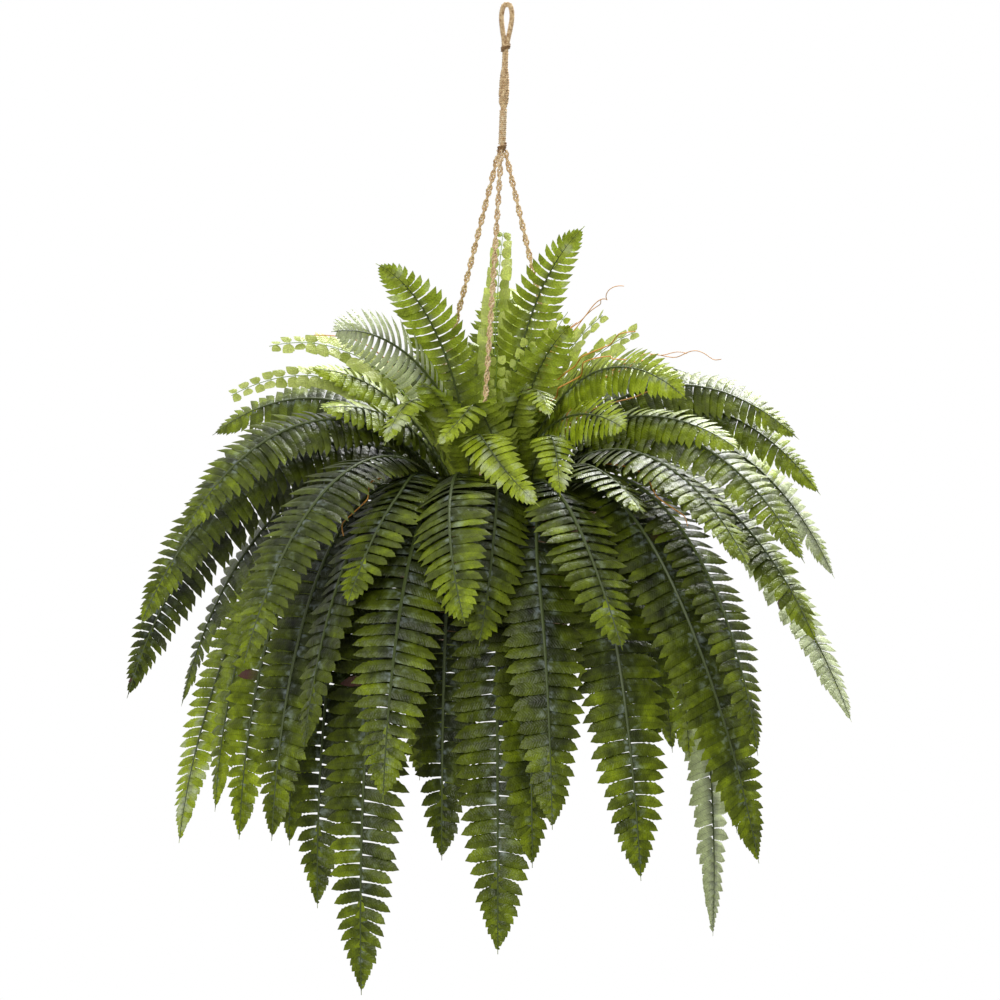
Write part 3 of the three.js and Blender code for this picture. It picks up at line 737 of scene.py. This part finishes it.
# the same for the lower face: its second shade is a painted sheen
UNDER_ZONE = ["3a4028", "7c8874", "8c9650"]
pinna_under = leaf_material("fern_pinna_lower_face", UNDER_SHADES, UNDER_ZONE, "6a4044", roughness=0.6, **LIT)
YOUNG_SHADES = ["84963a", "a8b452", "d0d888"]
# the same for young leaves: the second shade is a painted sheen
YOUNG_ZONE = ["8e9c46", "b4c07a", "d2da90"]
YOUNG_LIT = {"through": 0.3, "glow": "fcff90"}
young_leaf = leaf_material("young_fern_leaf", YOUNG_SHADES, YOUNG_ZONE, "8fa44a", roughness=0.42, **YOUNG_LIT)

# stalks are smooth and streaked along, and runners dry and wiry
STALK = {"stretch": (1.2, 9.0), "shares": (0.0, 1.0), "relief": 0.3}
rachis_green = streaked_material("fern_rachis", "2e3814", "586630", streak=5.0, roughness=0.5, **STALK)
stem_green = streaked_material("young_fern_stem", "5f7d2e", "93ae4c", streak=5.0, roughness=0.5, **STALK)
runner_fibre = streaked_material("dry_fern_runner", "b06a20", "f0b450", streak=4.0, roughness=0.6, **STALK)

# %% [markdown]
# ## How the fronds lie
# The plant is laid out as nested bells. A bell's profile is one curve in a vertical half plane, which
# leaves the soil near the crown, arches and falls. A frond between two bells takes the curve between them.
# Upright profiles lie inside and above, hanging ones outside and below, and no two of them cross. Short
# fronds that fill the crown have profiles of their own, which come last.

# %% Bells and fronds
# Each bell: the reach of its root, then reach and height of the two points that it bends towards and of
# its furthest tip. Twelve bells lie inside each other, and the last three are for the short fronds.
BELLS = np.array(
    [
        [8, 12, 95, 34, 200, 88, 250],
        [13, 26, 105, 66, 205, 138, 225],
        [18, 44, 112, 108, 185, 190, 174],
        [23, 62, 112, 150, 165, 240, 112],
        [28, 80, 112, 195, 140, 288, 42],
        [34, 96, 112, 232, 110, 312, -35],
        [40, 112, 108, 258, 72, 326, -115],
        [46, 126, 104, 278, 28, 335, -200],
        [52, 134, 101, 280, -20, 292, -300],
        [58, 134, 100, 258, -60, 246, -390],
        [64, 130, 100, 218, -95, 196, -455],
        [70, 124, 100, 178, -120, 150, -430],
        [58, 92, 66, 124, 118, 158, 40],
        [40, 74, 90, 104, 140, 140, 120],
        [60, 96, 50, 138, 86, 176, 14],
    ],
    float,
)
ROOTED = 12.0  # depth of a stem's foot in the soil

# The fronds, one row for each root, with one or two fronds on it: azimuth, bell, share of the profile's
# length, half width, sideways sweep, turn about the rib, and tone as a place in the row of greens, where 0
# is dark and old and 1 is pale and fresh. The tone also holds painted light: fronds in the shade inside the
# plant are given dark tones as painted shade, and those washed out by light from behind are given the
# palest tones, near 1 and above, as a painted highlight.
FRONDS = [
    # upright fronds round the crown
    [[-30, 0.1, 1, 26, 0, -55, 0.6]],
    # the second frond is pale as a painted highlight, washed out by light from behind
    [[-138, 1.1, 0.95, 27, 0, 45, 0.62], [-136, 2.3, 0.93, 34, 0, -72, 1.25]],
    [[-56, 2.0, 0.76, 24, 0, -30, 0.62]],
    [[116, 3.2, 1, 30, 20, -30, 0.4]],
    [[-160, 3.2, 0.7, 28, 0, -37, 0.6], [-146, 4.3, 0.58, 30, 0, -34, 0.5]],
    [[-48, 3.1, 1, 28, 0, 55, 0.62], [-57, 4.5, 0.66, 28, 0, 55, 0.7]],
    [[42, 3.2, 1, 30, -12, 20, 0.78]],
    # short fronds that fill the crown's show side
    [[-76, 3.3, 0.56, 22, 0, 0, 0.72], [-70, 12.6, 1, 22, 0, 0, 0.75]],
    [[-114, 3.4, 0.6, 22, 0, 0, 0.7], [-126, 12.3, 1, 22, 0, 0, 0.7]],
    # arching fronds, left
    [[170, 4.2, 0.84, 32, 0, -40, 0.36]],
    [[164, 5.3, 0.88, 34, 0, -45, 0.32], [172, 7.8, 0.8, 34, 0, -30, 0.3]],
    [[-150, 4.8, 0.97, 34, 0, -30, 0.28], [-163, 6.0, 0.95, 34, 0, -40, 0.3]],
    # a dark tone as painted shade, for a frond in the shade inside the plant
    [[-179, 7.0, 0.93, 36, 0, -50, 0.14]],
    [[-130, 6.4, 0.91, 36, 0, -10, 0.26], [-117, 7.7, 0.55, 34, -6, 0, 0.34]],
    # arching fronds, right
    [[-3, 3.7, 1, 32, 0, 40, 0.4], [-26, 4.7, 0.73, 32, 0, 30, 0.5]],
    [[9, 5.4, 1, 32, 0, 45, 0.92], [4, 4.4, 1, 32, 0, 45, 0.5]],
    [[-28, 5.3, 0.93, 34, 0, 20, 0.42], [-23, 6.8, 0.82, 36, 0, 20, 0.38]],
    [[-40, 6.1, 0.76, 34, 0, 5, 0.36], [-53, 7.0, 0.46, 32, -3, -5, 0.36]],
    [[-38, 7.7, 0.84, 35, -2, 6, 0.28]],
    # a pale tone as a painted highlight, washed out by light from behind
    [[31, 7.0, 1, 34, -22, 55, 1.2]],
    # front fronds that arch towards the show side
    [[-103, 7.4, 0.62, 36, 22, 15, 0.36], [-105, 14, 1, 22, 28, 10, 0.72]],
    [[-87, 8.5, 0.5, 34, -20, -20, 0.34], [-81, 12.3, 1, 22, -26, 15, 0.6]],
    [[-69, 8.0, 0.58, 38, 14, -5, 0.36], [-77, 9.2, 0.72, 36, 0, 5, 0.26]],
    # hanging fronds
    [[-58, 9.4, 0.79, 42, 4, 10, 0.34], [-66, 14, 0.95, 22, -4, 0, 0.66]],
    [[-47, 8.4, 0.92, 40, 18, 20, 0.34]],
    # the first frond's pale tone is a painted highlight, washed out by light from behind
    [[18, 9.6, 0.95, 34, 0, 60, 1.1], [1, 10.4, 0.6, 34, 0, 50, 0.7]],
    [[-19, 9.3, 0.76, 34, 0, 35, 0.45], [-33, 10.5, 0.54, 34, 0, 30, 0.3]],
    [[-88, 10.1, 0.84, 41, 0, 15, 0.3], [-80, 9.8, 0.72, 36, 0, -20, 0.26]],
    # dark tones as painted shade, for fronds in the shade inside the plant
    [[-111, 8.8, 0.72, 40, 0, -15, 0.3], [-104, 10.7, 0.72, 38, 0, 15, 0.16]],
    [[-122, 9.8, 0.93, 42, 0, -12, 0.3], [-127, 8.4, 0.7, 36, 0, 20, 0.22]],
    [[-140, 9.0, 0.78, 36, 0, -20, 0.28], [-142, 10.2, 0.8, 36, 0, -35, 0.24]],
    [[-160, 9.2, 0.78, 34, 0, -40, 0.46], [-176, 8.9, 0.79, 34, 0, -35, 0.5]],
    [[149, 8.1, 1, 34, 24, -65, 0.68]],
    [[160, 10.2, 0.64, 34, 0, -60, 0.3], [179, 10.4, 0.74, 34, 0, -55, 0.34]],
    # the back
    [[84, 1.6, 1, 30, 0, 0, 0.6], [97, 2.7, 1, 30, 0, 0, 0.6]],
    [[68, 4.2, 1, 32, 0, 0, 0.5], [54, 5.6, 1, 32, 0, 0, 0.45]],
    [[118, 4.6, 1, 32, 0, 0, 0.5], [132, 5.8, 1, 32, 0, 0, 0.4]],
    [[92, 5.4, 1, 34, 0, 0, 0.4], [80, 6.9, 1, 34, 0, 0, 0.3]],
    [[110, 7.2, 1, 34, 0, 0, 0.32], [98, 8.6, 0.92, 36, 0, 0, 0.3]],
    [[62, 8.2, 0.86, 36, 0, 0, 0.34], [74, 9.8, 0.72, 36, 0, 0, 0.28]],
    [[126, 9.2, 0.86, 36, 0, 0, 0.34], [112, 10.4, 0.68, 36, 0, 0, 0.28]],
    [[42, 9.2, 0.7, 36, 0, 0, 0.34], [52, 10.5, 0.62, 36, 0, 0, 0.28]],
]
# Young sprigs with small round leaflets: azimuth, bell, share, half width, turn.
SPRIGS = [
    [82, 0, 0.98, 12, 10],
    [-18, 1.6, 0.75, 12, 45],
    [-8, 2.2, 0.75, 13, 50],
    [-172, 2.6, 0.92, 12, -45],
]
# Short shoots that stand by each sprig, in the same words.
SHOOTS = [
    [[-82, 0.8, 0.56, 9, 20], [-64, 1.2, 0.55, 9, -30], [-92, 1.6, 0.5, 8, 10], [30, 0.3, 0.8, 9, 0]],
    [[-50, 0.9, 0.62, 10, -30], [-44, 1.9, 0.5, 9, 30], [-34, 1.2, 0.72, 10, -40]],
    [[-30, 2.3, 0.6, 10, 40], [-14, 1.2, 0.62, 9, 40]],
    [[-150, 1.7, 0.55, 9, -40], [-168, 3.4, 0.9, 11, -50], [-142, 3.1, 0.5, 9, -30]],
]
# Wiry runners: azimuth, bell, share, sideways wave.
RUNNERS = [[-34, 1.5, 0.95, 7], [10, 2.9, 0.9, 8]]
# Strands that creep over the fronds beside each runner: azimuth, bell, where they start and end along that
# line, and the number of bends.
CREEPERS = [
    [[-48, 3.1, 0.3, 0.75, 3.5], [-40, 2.6, 0.4, 0.8, 2.5], [-158, 2.6, 0.45, 0.8, 1.2]],
    [[-38, 7.7, 0.2, 0.42, 2.0], [-30, 4.2, 0.25, 0.6, 2.6], [-126, 7.9, 0.25, 0.4, 1.5]],
]

# %% [markdown]
# ## The rib's line
# A rib is a line in space: its bell's profile, a cubic Bezier curve, turned to the frond's azimuth. Its
# points are spaced evenly along it, so that the leaflets can be set out by length. At each point three
# directions are needed: along the rib, across it to its left side, and up from the blade's face.

# %% Ribs
RIB_POINTS = 300


def bezier(start, rise, fall, tip, t):
    """(1-t)^3 start + 3t(1-t)^2 rise + 3t^2(1-t) fall + t^3 tip."""
    t = t[:, None]
    return (1 - t) ** 3 * start + 3 * t * (1 - t) ** 2 * rise + 3 * t**2 * (1 - t) * fall + t**3 * tip


def make_rib(azimuth, bell, share, sweep=0.0, wave=0.0, root=None):
    """A rib as a dictionary: its dense path, the length run at each point and its root. The azimuth bends by
    sweep u^2 + wave u sin(6 pi u), and near a shared root it turns into the root's azimuth."""
    inner = min(int(bell), len(BELLS) - 2)
    row = BELLS[inner] + (BELLS[inner + 1] - BELLS[inner]) * (bell - inner)
    root = root or {"azimuth": azimuth, "start": np.array([row[0], -ROOTED]), "rise": row[1:3]}
    profile = bezier(root["start"], root["rise"], row[3:5], row[5:7], np.linspace(0, 1, 2 * RIB_POINTS))
    run = length_along(profile)
    u = np.linspace(0, share, RIB_POINTS)
    reach, height = at_lengths(u * run[-1], run, profile).T
    bend = sweep * u * u + wave * u * np.sin(6 * np.pi * u)
    turned = azimuth + bend + (root["azimuth"] - azimuth - bend) * (1 - smoothstep(u, 0.04, 0.32))
    path = at_crown(turned, reach, height)
    run = length_along(path)
    return {"path": path, "run": run, "length": run[-1], "root": root}


def rib_frame(rib, at, turn=0.0):
    """Point, along, across and up at the lengths `at` along a rib. The blade is turned about the rib by up
    to `turn` degrees, reached half way."""
    lines = rib["path"], unit(np.gradient(rib["path"], rib["run"], axis=0))
    point, along = (at_lengths(at, rib["run"], values) for values in lines)
    along = unit(along)
    outward = unit((point - CROWN) * [1, 1, 0])
    rise, reach = along[:, 2:], (along * outward).sum(1, keepdims=True)
    across = unit(np.cross(along, -rise * outward + reach * UP))
    angle = np.radians(turn) * np.minimum(1, 2 * at / rib["length"])[:, None]
    across = across * np.cos(angle) + np.cross(along, across) * np.sin(angle)
    return point, along, across, np.cross(across, along)


# %% [markdown]
# ## The leaflets
# A leaflet is drawn on a little grid: rows run out from the rib, and each row has its two edge points and
# the midrib between them, on the upper and on the lower face. Both faces share their edge points, so the
# leaflet is a closed lens. The grid's faces are the same for every leaflet, so a whole frond is worked out
# as one array of leaflets by rows by points.


# %% Leaflet grid
def lens_faces(rows):
    """Quads of a closed lens with `rows` intervals, and which of them lie on the lower face. Points are
    numbered left edges, right edges, upper midrib, lower midrib; the faces meet at both ends."""
    i = np.arange(rows)
    left, right, top = i, rows + 1 + i, 2 * (rows + 1) + i
    low = 3 * (rows + 1) + np.arange(rows + 1) - 1
    low[0], low[-1] = 2 * (rows + 1), 3 * (rows + 1) - 1
    upper = [[top, top + 1, left + 1, left], [right, right + 1, top + 1, top]]
    lower = [[left, left + 1, low[1:], low[:-1]], [low[:-1], low[1:], right + 1, right]]
    return np.concatenate([np.stack(quad, axis=1) for quad in upper + lower]), np.repeat([0, 1], 2 * rows)


def leaflets(frame, side, sizes, fold, thick, outline, tone, blush, rows, hook):
    """All the leaflets on one side of a rib. `sizes` holds, for each of them, out, width, ahead, curve, droop
    and twist. The midrib runs out as out s, ahead as out (ahead s + curve s^2) and down as droop out s^1.5,
    and near its end it moves ahead by `hook` of what the outline has lost, which bends the point. The edges
    lie width outline(s) off it, lower by fold times that, and twist lifts one over the next leaflet."""
    point, along, across, up = (vectors[:, None] for vectors in frame)
    s = np.linspace(0, 1, rows + 1)[None]
    out, width, ahead, curve, droop, twist = (v[:, None] for v in sizes)
    reach = out * s
    height = -droop * out * s**1.5
    slope = ahead + 2 * curve * s
    square = np.array([-slope, np.ones_like(slope)]) / np.sqrt(1 + slope**2)
    half = width * outline(s)
    front = out * (ahead * s + curve * s**2) + hook * (width - half) * smoothstep(s, 0.45, 0.75)

    def place(off, high):
        """Points that lie `off` the midrib, square to it, and `high` above the blade's plane."""
        aside, forward = side * (reach + square[0] * off), front + square[1] * off
        return point + across * aside[..., None] + along * forward[..., None] + up * high[..., None]

    edges = [place(half, height + (twist - fold) * half), place(-half, height - (twist + fold) * half)]
    low = place(0 * half, height - thick * np.sin(np.pi * s) ** 0.5)[:, 1:-1]
    points = np.concatenate([*edges[::side], place(0 * half, height), low], axis=1)

    run = np.broadcast_to(reach / 10, half.shape)
    lines = [np.stack([run, sign * half / 10], axis=-1) for sign in (1, -1, 0)]
    uv = np.concatenate([*lines, lines[2][:, 1:-1]], axis=1)
    s_all = np.concatenate([s, s, s, s[:, 1:-1]], axis=1)
    on_edge = np.arange(4 * rows + 2)[None] < 2 * (rows + 1)
    leaf = np.stack(np.broadcast_arrays(tone[:, None], on_edge, blush[:, None], s_all), axis=-1)
    quads, lower = lens_faces(rows)
    quads = copied_quads(quads, len(tone), points.shape[1])
    return make_part(points, quads, uv, leaf, np.tile(lower, len(tone)))


def pinna_outline(s):
    """A fern leaflet from base to tip: a little narrower at its foot, then parallel edges that close to a
    blunt point over the last two fifths, with a tooth at every second row."""
    foot = 0.9 + 0.1 * smoothstep(s, 0.0, 0.35)
    point = 1 - np.clip((s - 0.62) / 0.38, 0, 1) ** 1.9
    teeth = 1 + 0.08 * np.cos(np.pi * s * (s.shape[1] - 1)) * smoothstep(s, 0.3, 0.5)
    return np.maximum(foot * point * teeth, 0.03)


# %% Fronds
# mm from one leaflet to the next, by bell: upright fronds are finer than the long hanging ones
PITCH_BELLS, PITCHES = [0, 5, 8, 10, 11.5, 12], [8.2, 7.6, 9.2, 11.8, 11.8, 6.6]
LONG_PITCH, UPRIGHT_BELL = 9.0, 3.0  # where coarse hanging leaflets begin, and where upright fronds end
# the first small leaflets and the first full ones: mm from the rib's foot, and at most that share of it
FIRST_LEAFLETS, FULL_LEAFLETS = (36.0, 0.14), (78.0, 0.26)
RACHIS = [1.9, 1.5, 0.5]  # radius at the foot, at three fifths and at the tip
FULL_WIDTH = 38.0  # mm, half width of a frond with the thickest rachis
FOLD, THICK = 0.3, 0.5  # how far a leaflet's edges droop, and its thickness in mm
TIP_ROWS = 24
BLUSHED = 0.997  # one leaflet in about 300 is wine red


def leaflet_places(start, length, pitch):
    """Lengths along the rib, a pitch apart, closing up to two fifths of it over the last sixth."""
    places = [start]
    while places[-1] < length - 3:
        late = np.clip((places[-1] / length - 0.8) / 0.2, 0, 1)
        places.append(places[-1] + pitch * (1 - 0.6 * late))
    return np.array(places[:-1])


def along_blade(at, bare, length):
    """0 where the full leaflets begin, 1 at the tip."""
    return np.clip((at - bare) / (length - bare), 0, 1)


def grown_tip(rib, half, turn, tone, bare):
    """The narrow blade at a frond's tip, a strip that both rows of leaflets grow out of."""
    length = rib["length"]
    at = np.linspace(0.8 * length, length + 4, TIP_ROWS + 1)
    u = along_blade(at, bare, length)
    taper = np.maximum(1 - u**5, 0) ** 1.1 * smoothstep(at, 0.82 * length, 0.95 * length)
    strip = (0.62 * half * taper + 0.3)[:, None]
    point, along, across, up = rib_frame(rib, np.minimum(at, length), turn)
    point = point + along * np.maximum(at - length, 0)[:, None]
    edges = [point + side * across * strip - up * 0.25 * strip for side in (1, -1)]
    points = np.concatenate([*edges, point, (point - up * 0.6)[1:-1]])
    leaf = np.zeros((len(points), 4)) + [min(tone + 0.15, 1), 0.6, 0, 0.8]
    quads, lower = lens_faces(TIP_ROWS)
    return make_part(points, quads, None, leaf, lower)


def frond_parts(rib, half, turn, pitch, tone, upright, seed):
    """A frond: its leaflets on both sides, the narrow blade at its tip, and its rachis. On some fronds the
    leaflets overlap, on others a slit stays open between them."""
    length = rib["length"]
    start, bare = (min(most, share * length) for most, share in (FIRST_LEAFLETS, FULL_LEAFLETS))
    fit = 0.455 - 0.07 * upright + 0.09 * chance(1, seed + 40)[0]
    rows, hook = (14, 0.3) if pitch > LONG_PITCH else (10, 0.75)
    parts = []
    for side in (1, -1):
        at = leaflet_places(start + (0.2 if side > 0 else 0.55) * pitch, length, pitch)
        u = along_blade(at, bare, length)
        young = smoothstep(at, start - 30, bare)
        draw = [chance(len(at), seed + 7 * k + side) - 0.5 for k in range(1, 7)]
        blush = 0.85 * (chance(len(at), seed + 91 + side) > BLUSHED)
        out = half * np.minimum(1, 0.6 + 1.6 * u) * (1 - u**5) ** 1.1 * (0.25 + 0.75 * young)
        out = np.maximum(out * (1 + 0.1 * draw[0]), 2.0) * (1 - 0.3 * blush)
        width = fit * np.gradient(at) * (1 + 0.25 * smoothstep(u, 0.85, 0.97)) * (1 - 0.2 * blush)
        ahead = 0.02 + 0.7 * smoothstep(u, 0.75, 1.0) + 0.1 * draw[1]
        curve = 0.05 + 0.2 * upright + 0.12 * u + 0.08 * draw[2]
        frame = rib_frame(rib, at, turn)
        level = 1 - np.abs(frame[1][:, 2])
        droop = 0.1 + 0.26 * level + 0.5 * (1 - young) + 0.2 * draw[3]
        sizes = (out, width, ahead, curve, droop, 0.2 + 0.4 * draw[4])
        # each leaflet's tone: the frond's, a random step, and darker towards the frond's foot as painted
        # shade inside the plant, paler towards the younger tip
        shade = np.clip(tone + 0.2 * draw[5] + 0.34 * (u - 0.55), 0, 1.3)
        parts.append(leaflets(frame, side, sizes, FOLD, THICK, pinna_outline, shade, blush, rows, hook))

    parts.append(grown_tip(rib, half, turn, tone, bare))
    at = np.linspace(0, length, int(length / 7) + 2)
    point, _, _, up = rib_frame(rib, at, turn)
    radius = np.interp(at / length, [0, 0.6, 1], RACHIS) * min(half / FULL_WIDTH, 1.0)
    parts.append(tube(point - up * 0.3, up, radius, material=2))
    return parts


quads_made = 0
for number, rows in enumerate(FRONDS, 1):
    root, parts = None, []
    for k, (azimuth, bell, share, half, sweep, turn, tone) in enumerate(rows):
        rib = make_rib(azimuth, bell, share, sweep, root=root)
        root = rib["root"]
        pitch = float(np.interp(bell, PITCH_BELLS, PITCHES))
        parts += frond_parts(rib, half, turn, pitch, tone, bell < UPRIGHT_BELL, 100 * number + 10 * k)
    node = f"frond_{number:02d}"
    piece = make_piece(f"leafy_{node}", parts, [pinna_top, pinna_under, rachis_green])
    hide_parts(node)
    quads_made += len(piece.data.polygons)
print("fronds", 2 * quads_made, "triangles")

# %% [markdown]
# ## Sprigs and runners
# Young sprigs carry pairs of small round leaflets with scalloped edges. Runners are the dry wiry shoots that
# a Boston fern throws out over its fronds: a few thin fibres that curl round each other.

# %% Sprigs
SPRIG = {"pitch": 11.0, "bare": 0.3, "stem": 0.75, "fold": 0.12, "thick": 0.45, "rows": 10, "hook": 0.75}


def round_outline(s):
    """A round leaflet on a short foot: half a circle's width at each point, with scallops."""
    disc = np.sqrt(np.clip(1 - (2 * np.clip((s - 0.14) / 0.86, 0, 1) - 1) ** 2, 0, 1))
    return np.maximum(disc * (1 + 0.06 * np.cos(np.pi * s * 10)), 0.06)


def sprig_parts(place, half, turn, seed):
    """A sprig: pairs of round leaflets, smaller towards its tip, on a thin stem."""
    rib = make_rib(*place)
    length, bare = rib["length"], SPRIG["bare"] * rib["length"]
    at = np.arange(bare, length - 2, SPRIG["pitch"])
    u = along_blade(at, bare, length)
    parts = []
    for side in (1, -1):
        draw = [chance(len(at), seed + 3 * k + side) - 0.5 for k in range(5)]
        out = half * (1.25 - 0.7 * u**2) * (1 + 0.25 * draw[0])
        ahead, curve, droop, twist = (
            low + spread * d for low, spread, d in zip((0.3, 0.1, 0.1, 0.1), (0.3, 0.1, 0.5, 0.8), draw[1:])
        )
        sizes = (out, 0.58 * out, ahead, curve, droop, twist)
        tone = np.clip(0.5 + 0.6 * draw[0] + 0.3 * u, 0, 1)
        body = (SPRIG["fold"], SPRIG["thick"], round_outline)
        frame = rib_frame(rib, at, turn)
        parts.append(leaflets(frame, side, sizes, *body, tone, 0 * tone, SPRIG["rows"], SPRIG["hook"]))
    at = np.linspace(0, length, int(length / 7) + 2)
    point, _, _, up = rib_frame(rib, at)
    parts.append(tube(point, up, SPRIG["stem"] * (1 - 0.6 * at / length), material=2))
    return parts


for number, (*place, half, turn) in enumerate(SPRIGS, 1):
    parts = sprig_parts(place, half, turn, 500 + 20 * number)
    for k, (*place, half, turn) in enumerate(SHOOTS[number - 1]):
        parts += sprig_parts(place, half, turn, 600 + 80 * number + 20 * k)
    piece = make_piece(f"leafy_sprig_{number}", parts, [young_leaf, young_leaf, stem_green])
    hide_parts(f"sprig_{number}")

# %% Runners
CREEPER_STEPS = 90
OVER_FRONDS = np.array([0, -3.0, 9.0])  # creepers lie this far in front of and above their line
for number, (azimuth, bell, share, wave) in enumerate(RUNNERS, 1):
    rib = make_rib(azimuth, bell, share, wave=wave)
    at = np.linspace(0, rib["length"], 160)
    point, _, across, up = rib_frame(rib, at)
    parts = []
    for fibre in range(3):
        phase = 2 * np.pi * fibre / 3 + number
        curl = 0.7 + 2.6 * (at / rib["length"]) ** 2
        out = curl * np.sin(at / 7.0 + phase) + 0.8 * curl * np.sin(at / 17.0 + 2 * phase)
        side = curl * np.cos(at / 8.5 + phase)
        line = point + up * out[:, None] + across * side[:, None]
        end = int(len(at) * (1 - 0.14 * fibre))
        parts.append(tube(line[:end], up[:end], np.linspace(0.75, 0.35, end), 5))
    for azimuth, bell, first, last, bends in CREEPERS[number - 1]:
        rib = make_rib(azimuth, bell, 1.0)
        point, _, across, up = rib_frame(rib, np.linspace(first, last, CREEPER_STEPS) * rib["length"])
        phase = 2 * np.pi * bends * np.linspace(0, 1, CREEPER_STEPS)
        zigzag = 6.5 * np.arcsin(0.94 * np.sin(phase)) * np.linspace(0.5, 1, CREEPER_STEPS)
        line = point + across * zigzag[:, None] + OVER_FRONDS * (1 + 0.3 * np.sin(phase / 2))[:, None]
        parts.append(tube(line, up, np.linspace(0.85, 0.45, CREEPER_STEPS), 5))
    piece = make_piece(f"curly_runner_{number}", parts, [runner_fibre], sharp=80)
    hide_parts(f"runner_{number}")

# %% [markdown]
# ## Floor, light and finish
# The plant hangs over a wide pale floor in a white room. The room is brightest overhead and behind, a large
# soft light behind and above on the right shines through the upper fronds, and a weak one stands in front
# on the left.

# %% Stage
FLOOR_HEIGHT, FLOOR_HALF = -1.9, 3.2  # metres

floor_white, node = new_material("matt_white_floor")
node("OutputMaterial", [node("BsdfPrincipled", {"Base Color": linear("c8c8c6"), "Roughness": 0.9})])
floor_mesh = bpy.data.meshes.new("floor")
near, far = -FLOOR_HALF, FLOOR_HALF
floor_corners = [(x, y, FLOOR_HEIGHT) for x, y in ((near, near), (far, near), (far, far), (near, far))]
floor_mesh.from_pydata(floor_corners, [], [(0, 1, 2, 3)])
floor_mesh.materials.append(floor_white)
floor = bpy.data.objects.new("floor", floor_mesh)
bpy.context.scene.collection.objects.link(floor)
floor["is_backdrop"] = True

# light is strong from the ceiling and the white wall behind; what is seen behind the plant is white
world = bpy.data.worlds.new("white_studio")
world.use_nodes = True
world.node_tree.nodes.clear()
node = partial(add_node, world)
_, depth, height = node("SeparateXYZ", [node("TexCoord").outputs["Generated"]]).outputs
shine = 0.07
for way, share in ((height, 0.9), (depth, 0.75)):
    facing = node("MAXIMUM", [way, 0.0])
    shine = node("MULTIPLY_ADD", [facing, share, shine])
seen = node("LightPath").outputs["Is Camera Ray"]
shine = node("MAXIMUM", [shine, seen])
node("OutputWorld", [node("Background", {"Color": (1, 1, 1, 1), "Strength": shine})])
bpy.context.scene.world = world
bpy.context.scene.view_settings.view_transform = "Standard"

LIGHTS = {
    "back_softbox": {"place": (700, 1200, 1100), "size": 1.2, "power": 90.0},
    "front_softbox": {"place": (-500, -2000, 100), "size": 1.0, "power": 23.0},
}
for name, made in LIGHTS.items():
    data = bpy.data.lights.new(name, "AREA")
    data.shape = "DISK"
    data.size = made["size"]
    data.energy = made["power"]
    light = bpy.data.objects.new(name, data)
    light.location = np.array(made["place"]) * MM
    aim = Vector(CROWN * MM) - light.location
    light.rotation_euler = aim.to_track_quat("-Z", "Y").to_euler()
    bpy.context.scene.collection.objects.link(light)

# %% Sizes and finish
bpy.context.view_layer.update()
triangles = sum(len(p.vertices) - 2 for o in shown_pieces() for p in o.data.polygons)
print("triangles in all", triangles)
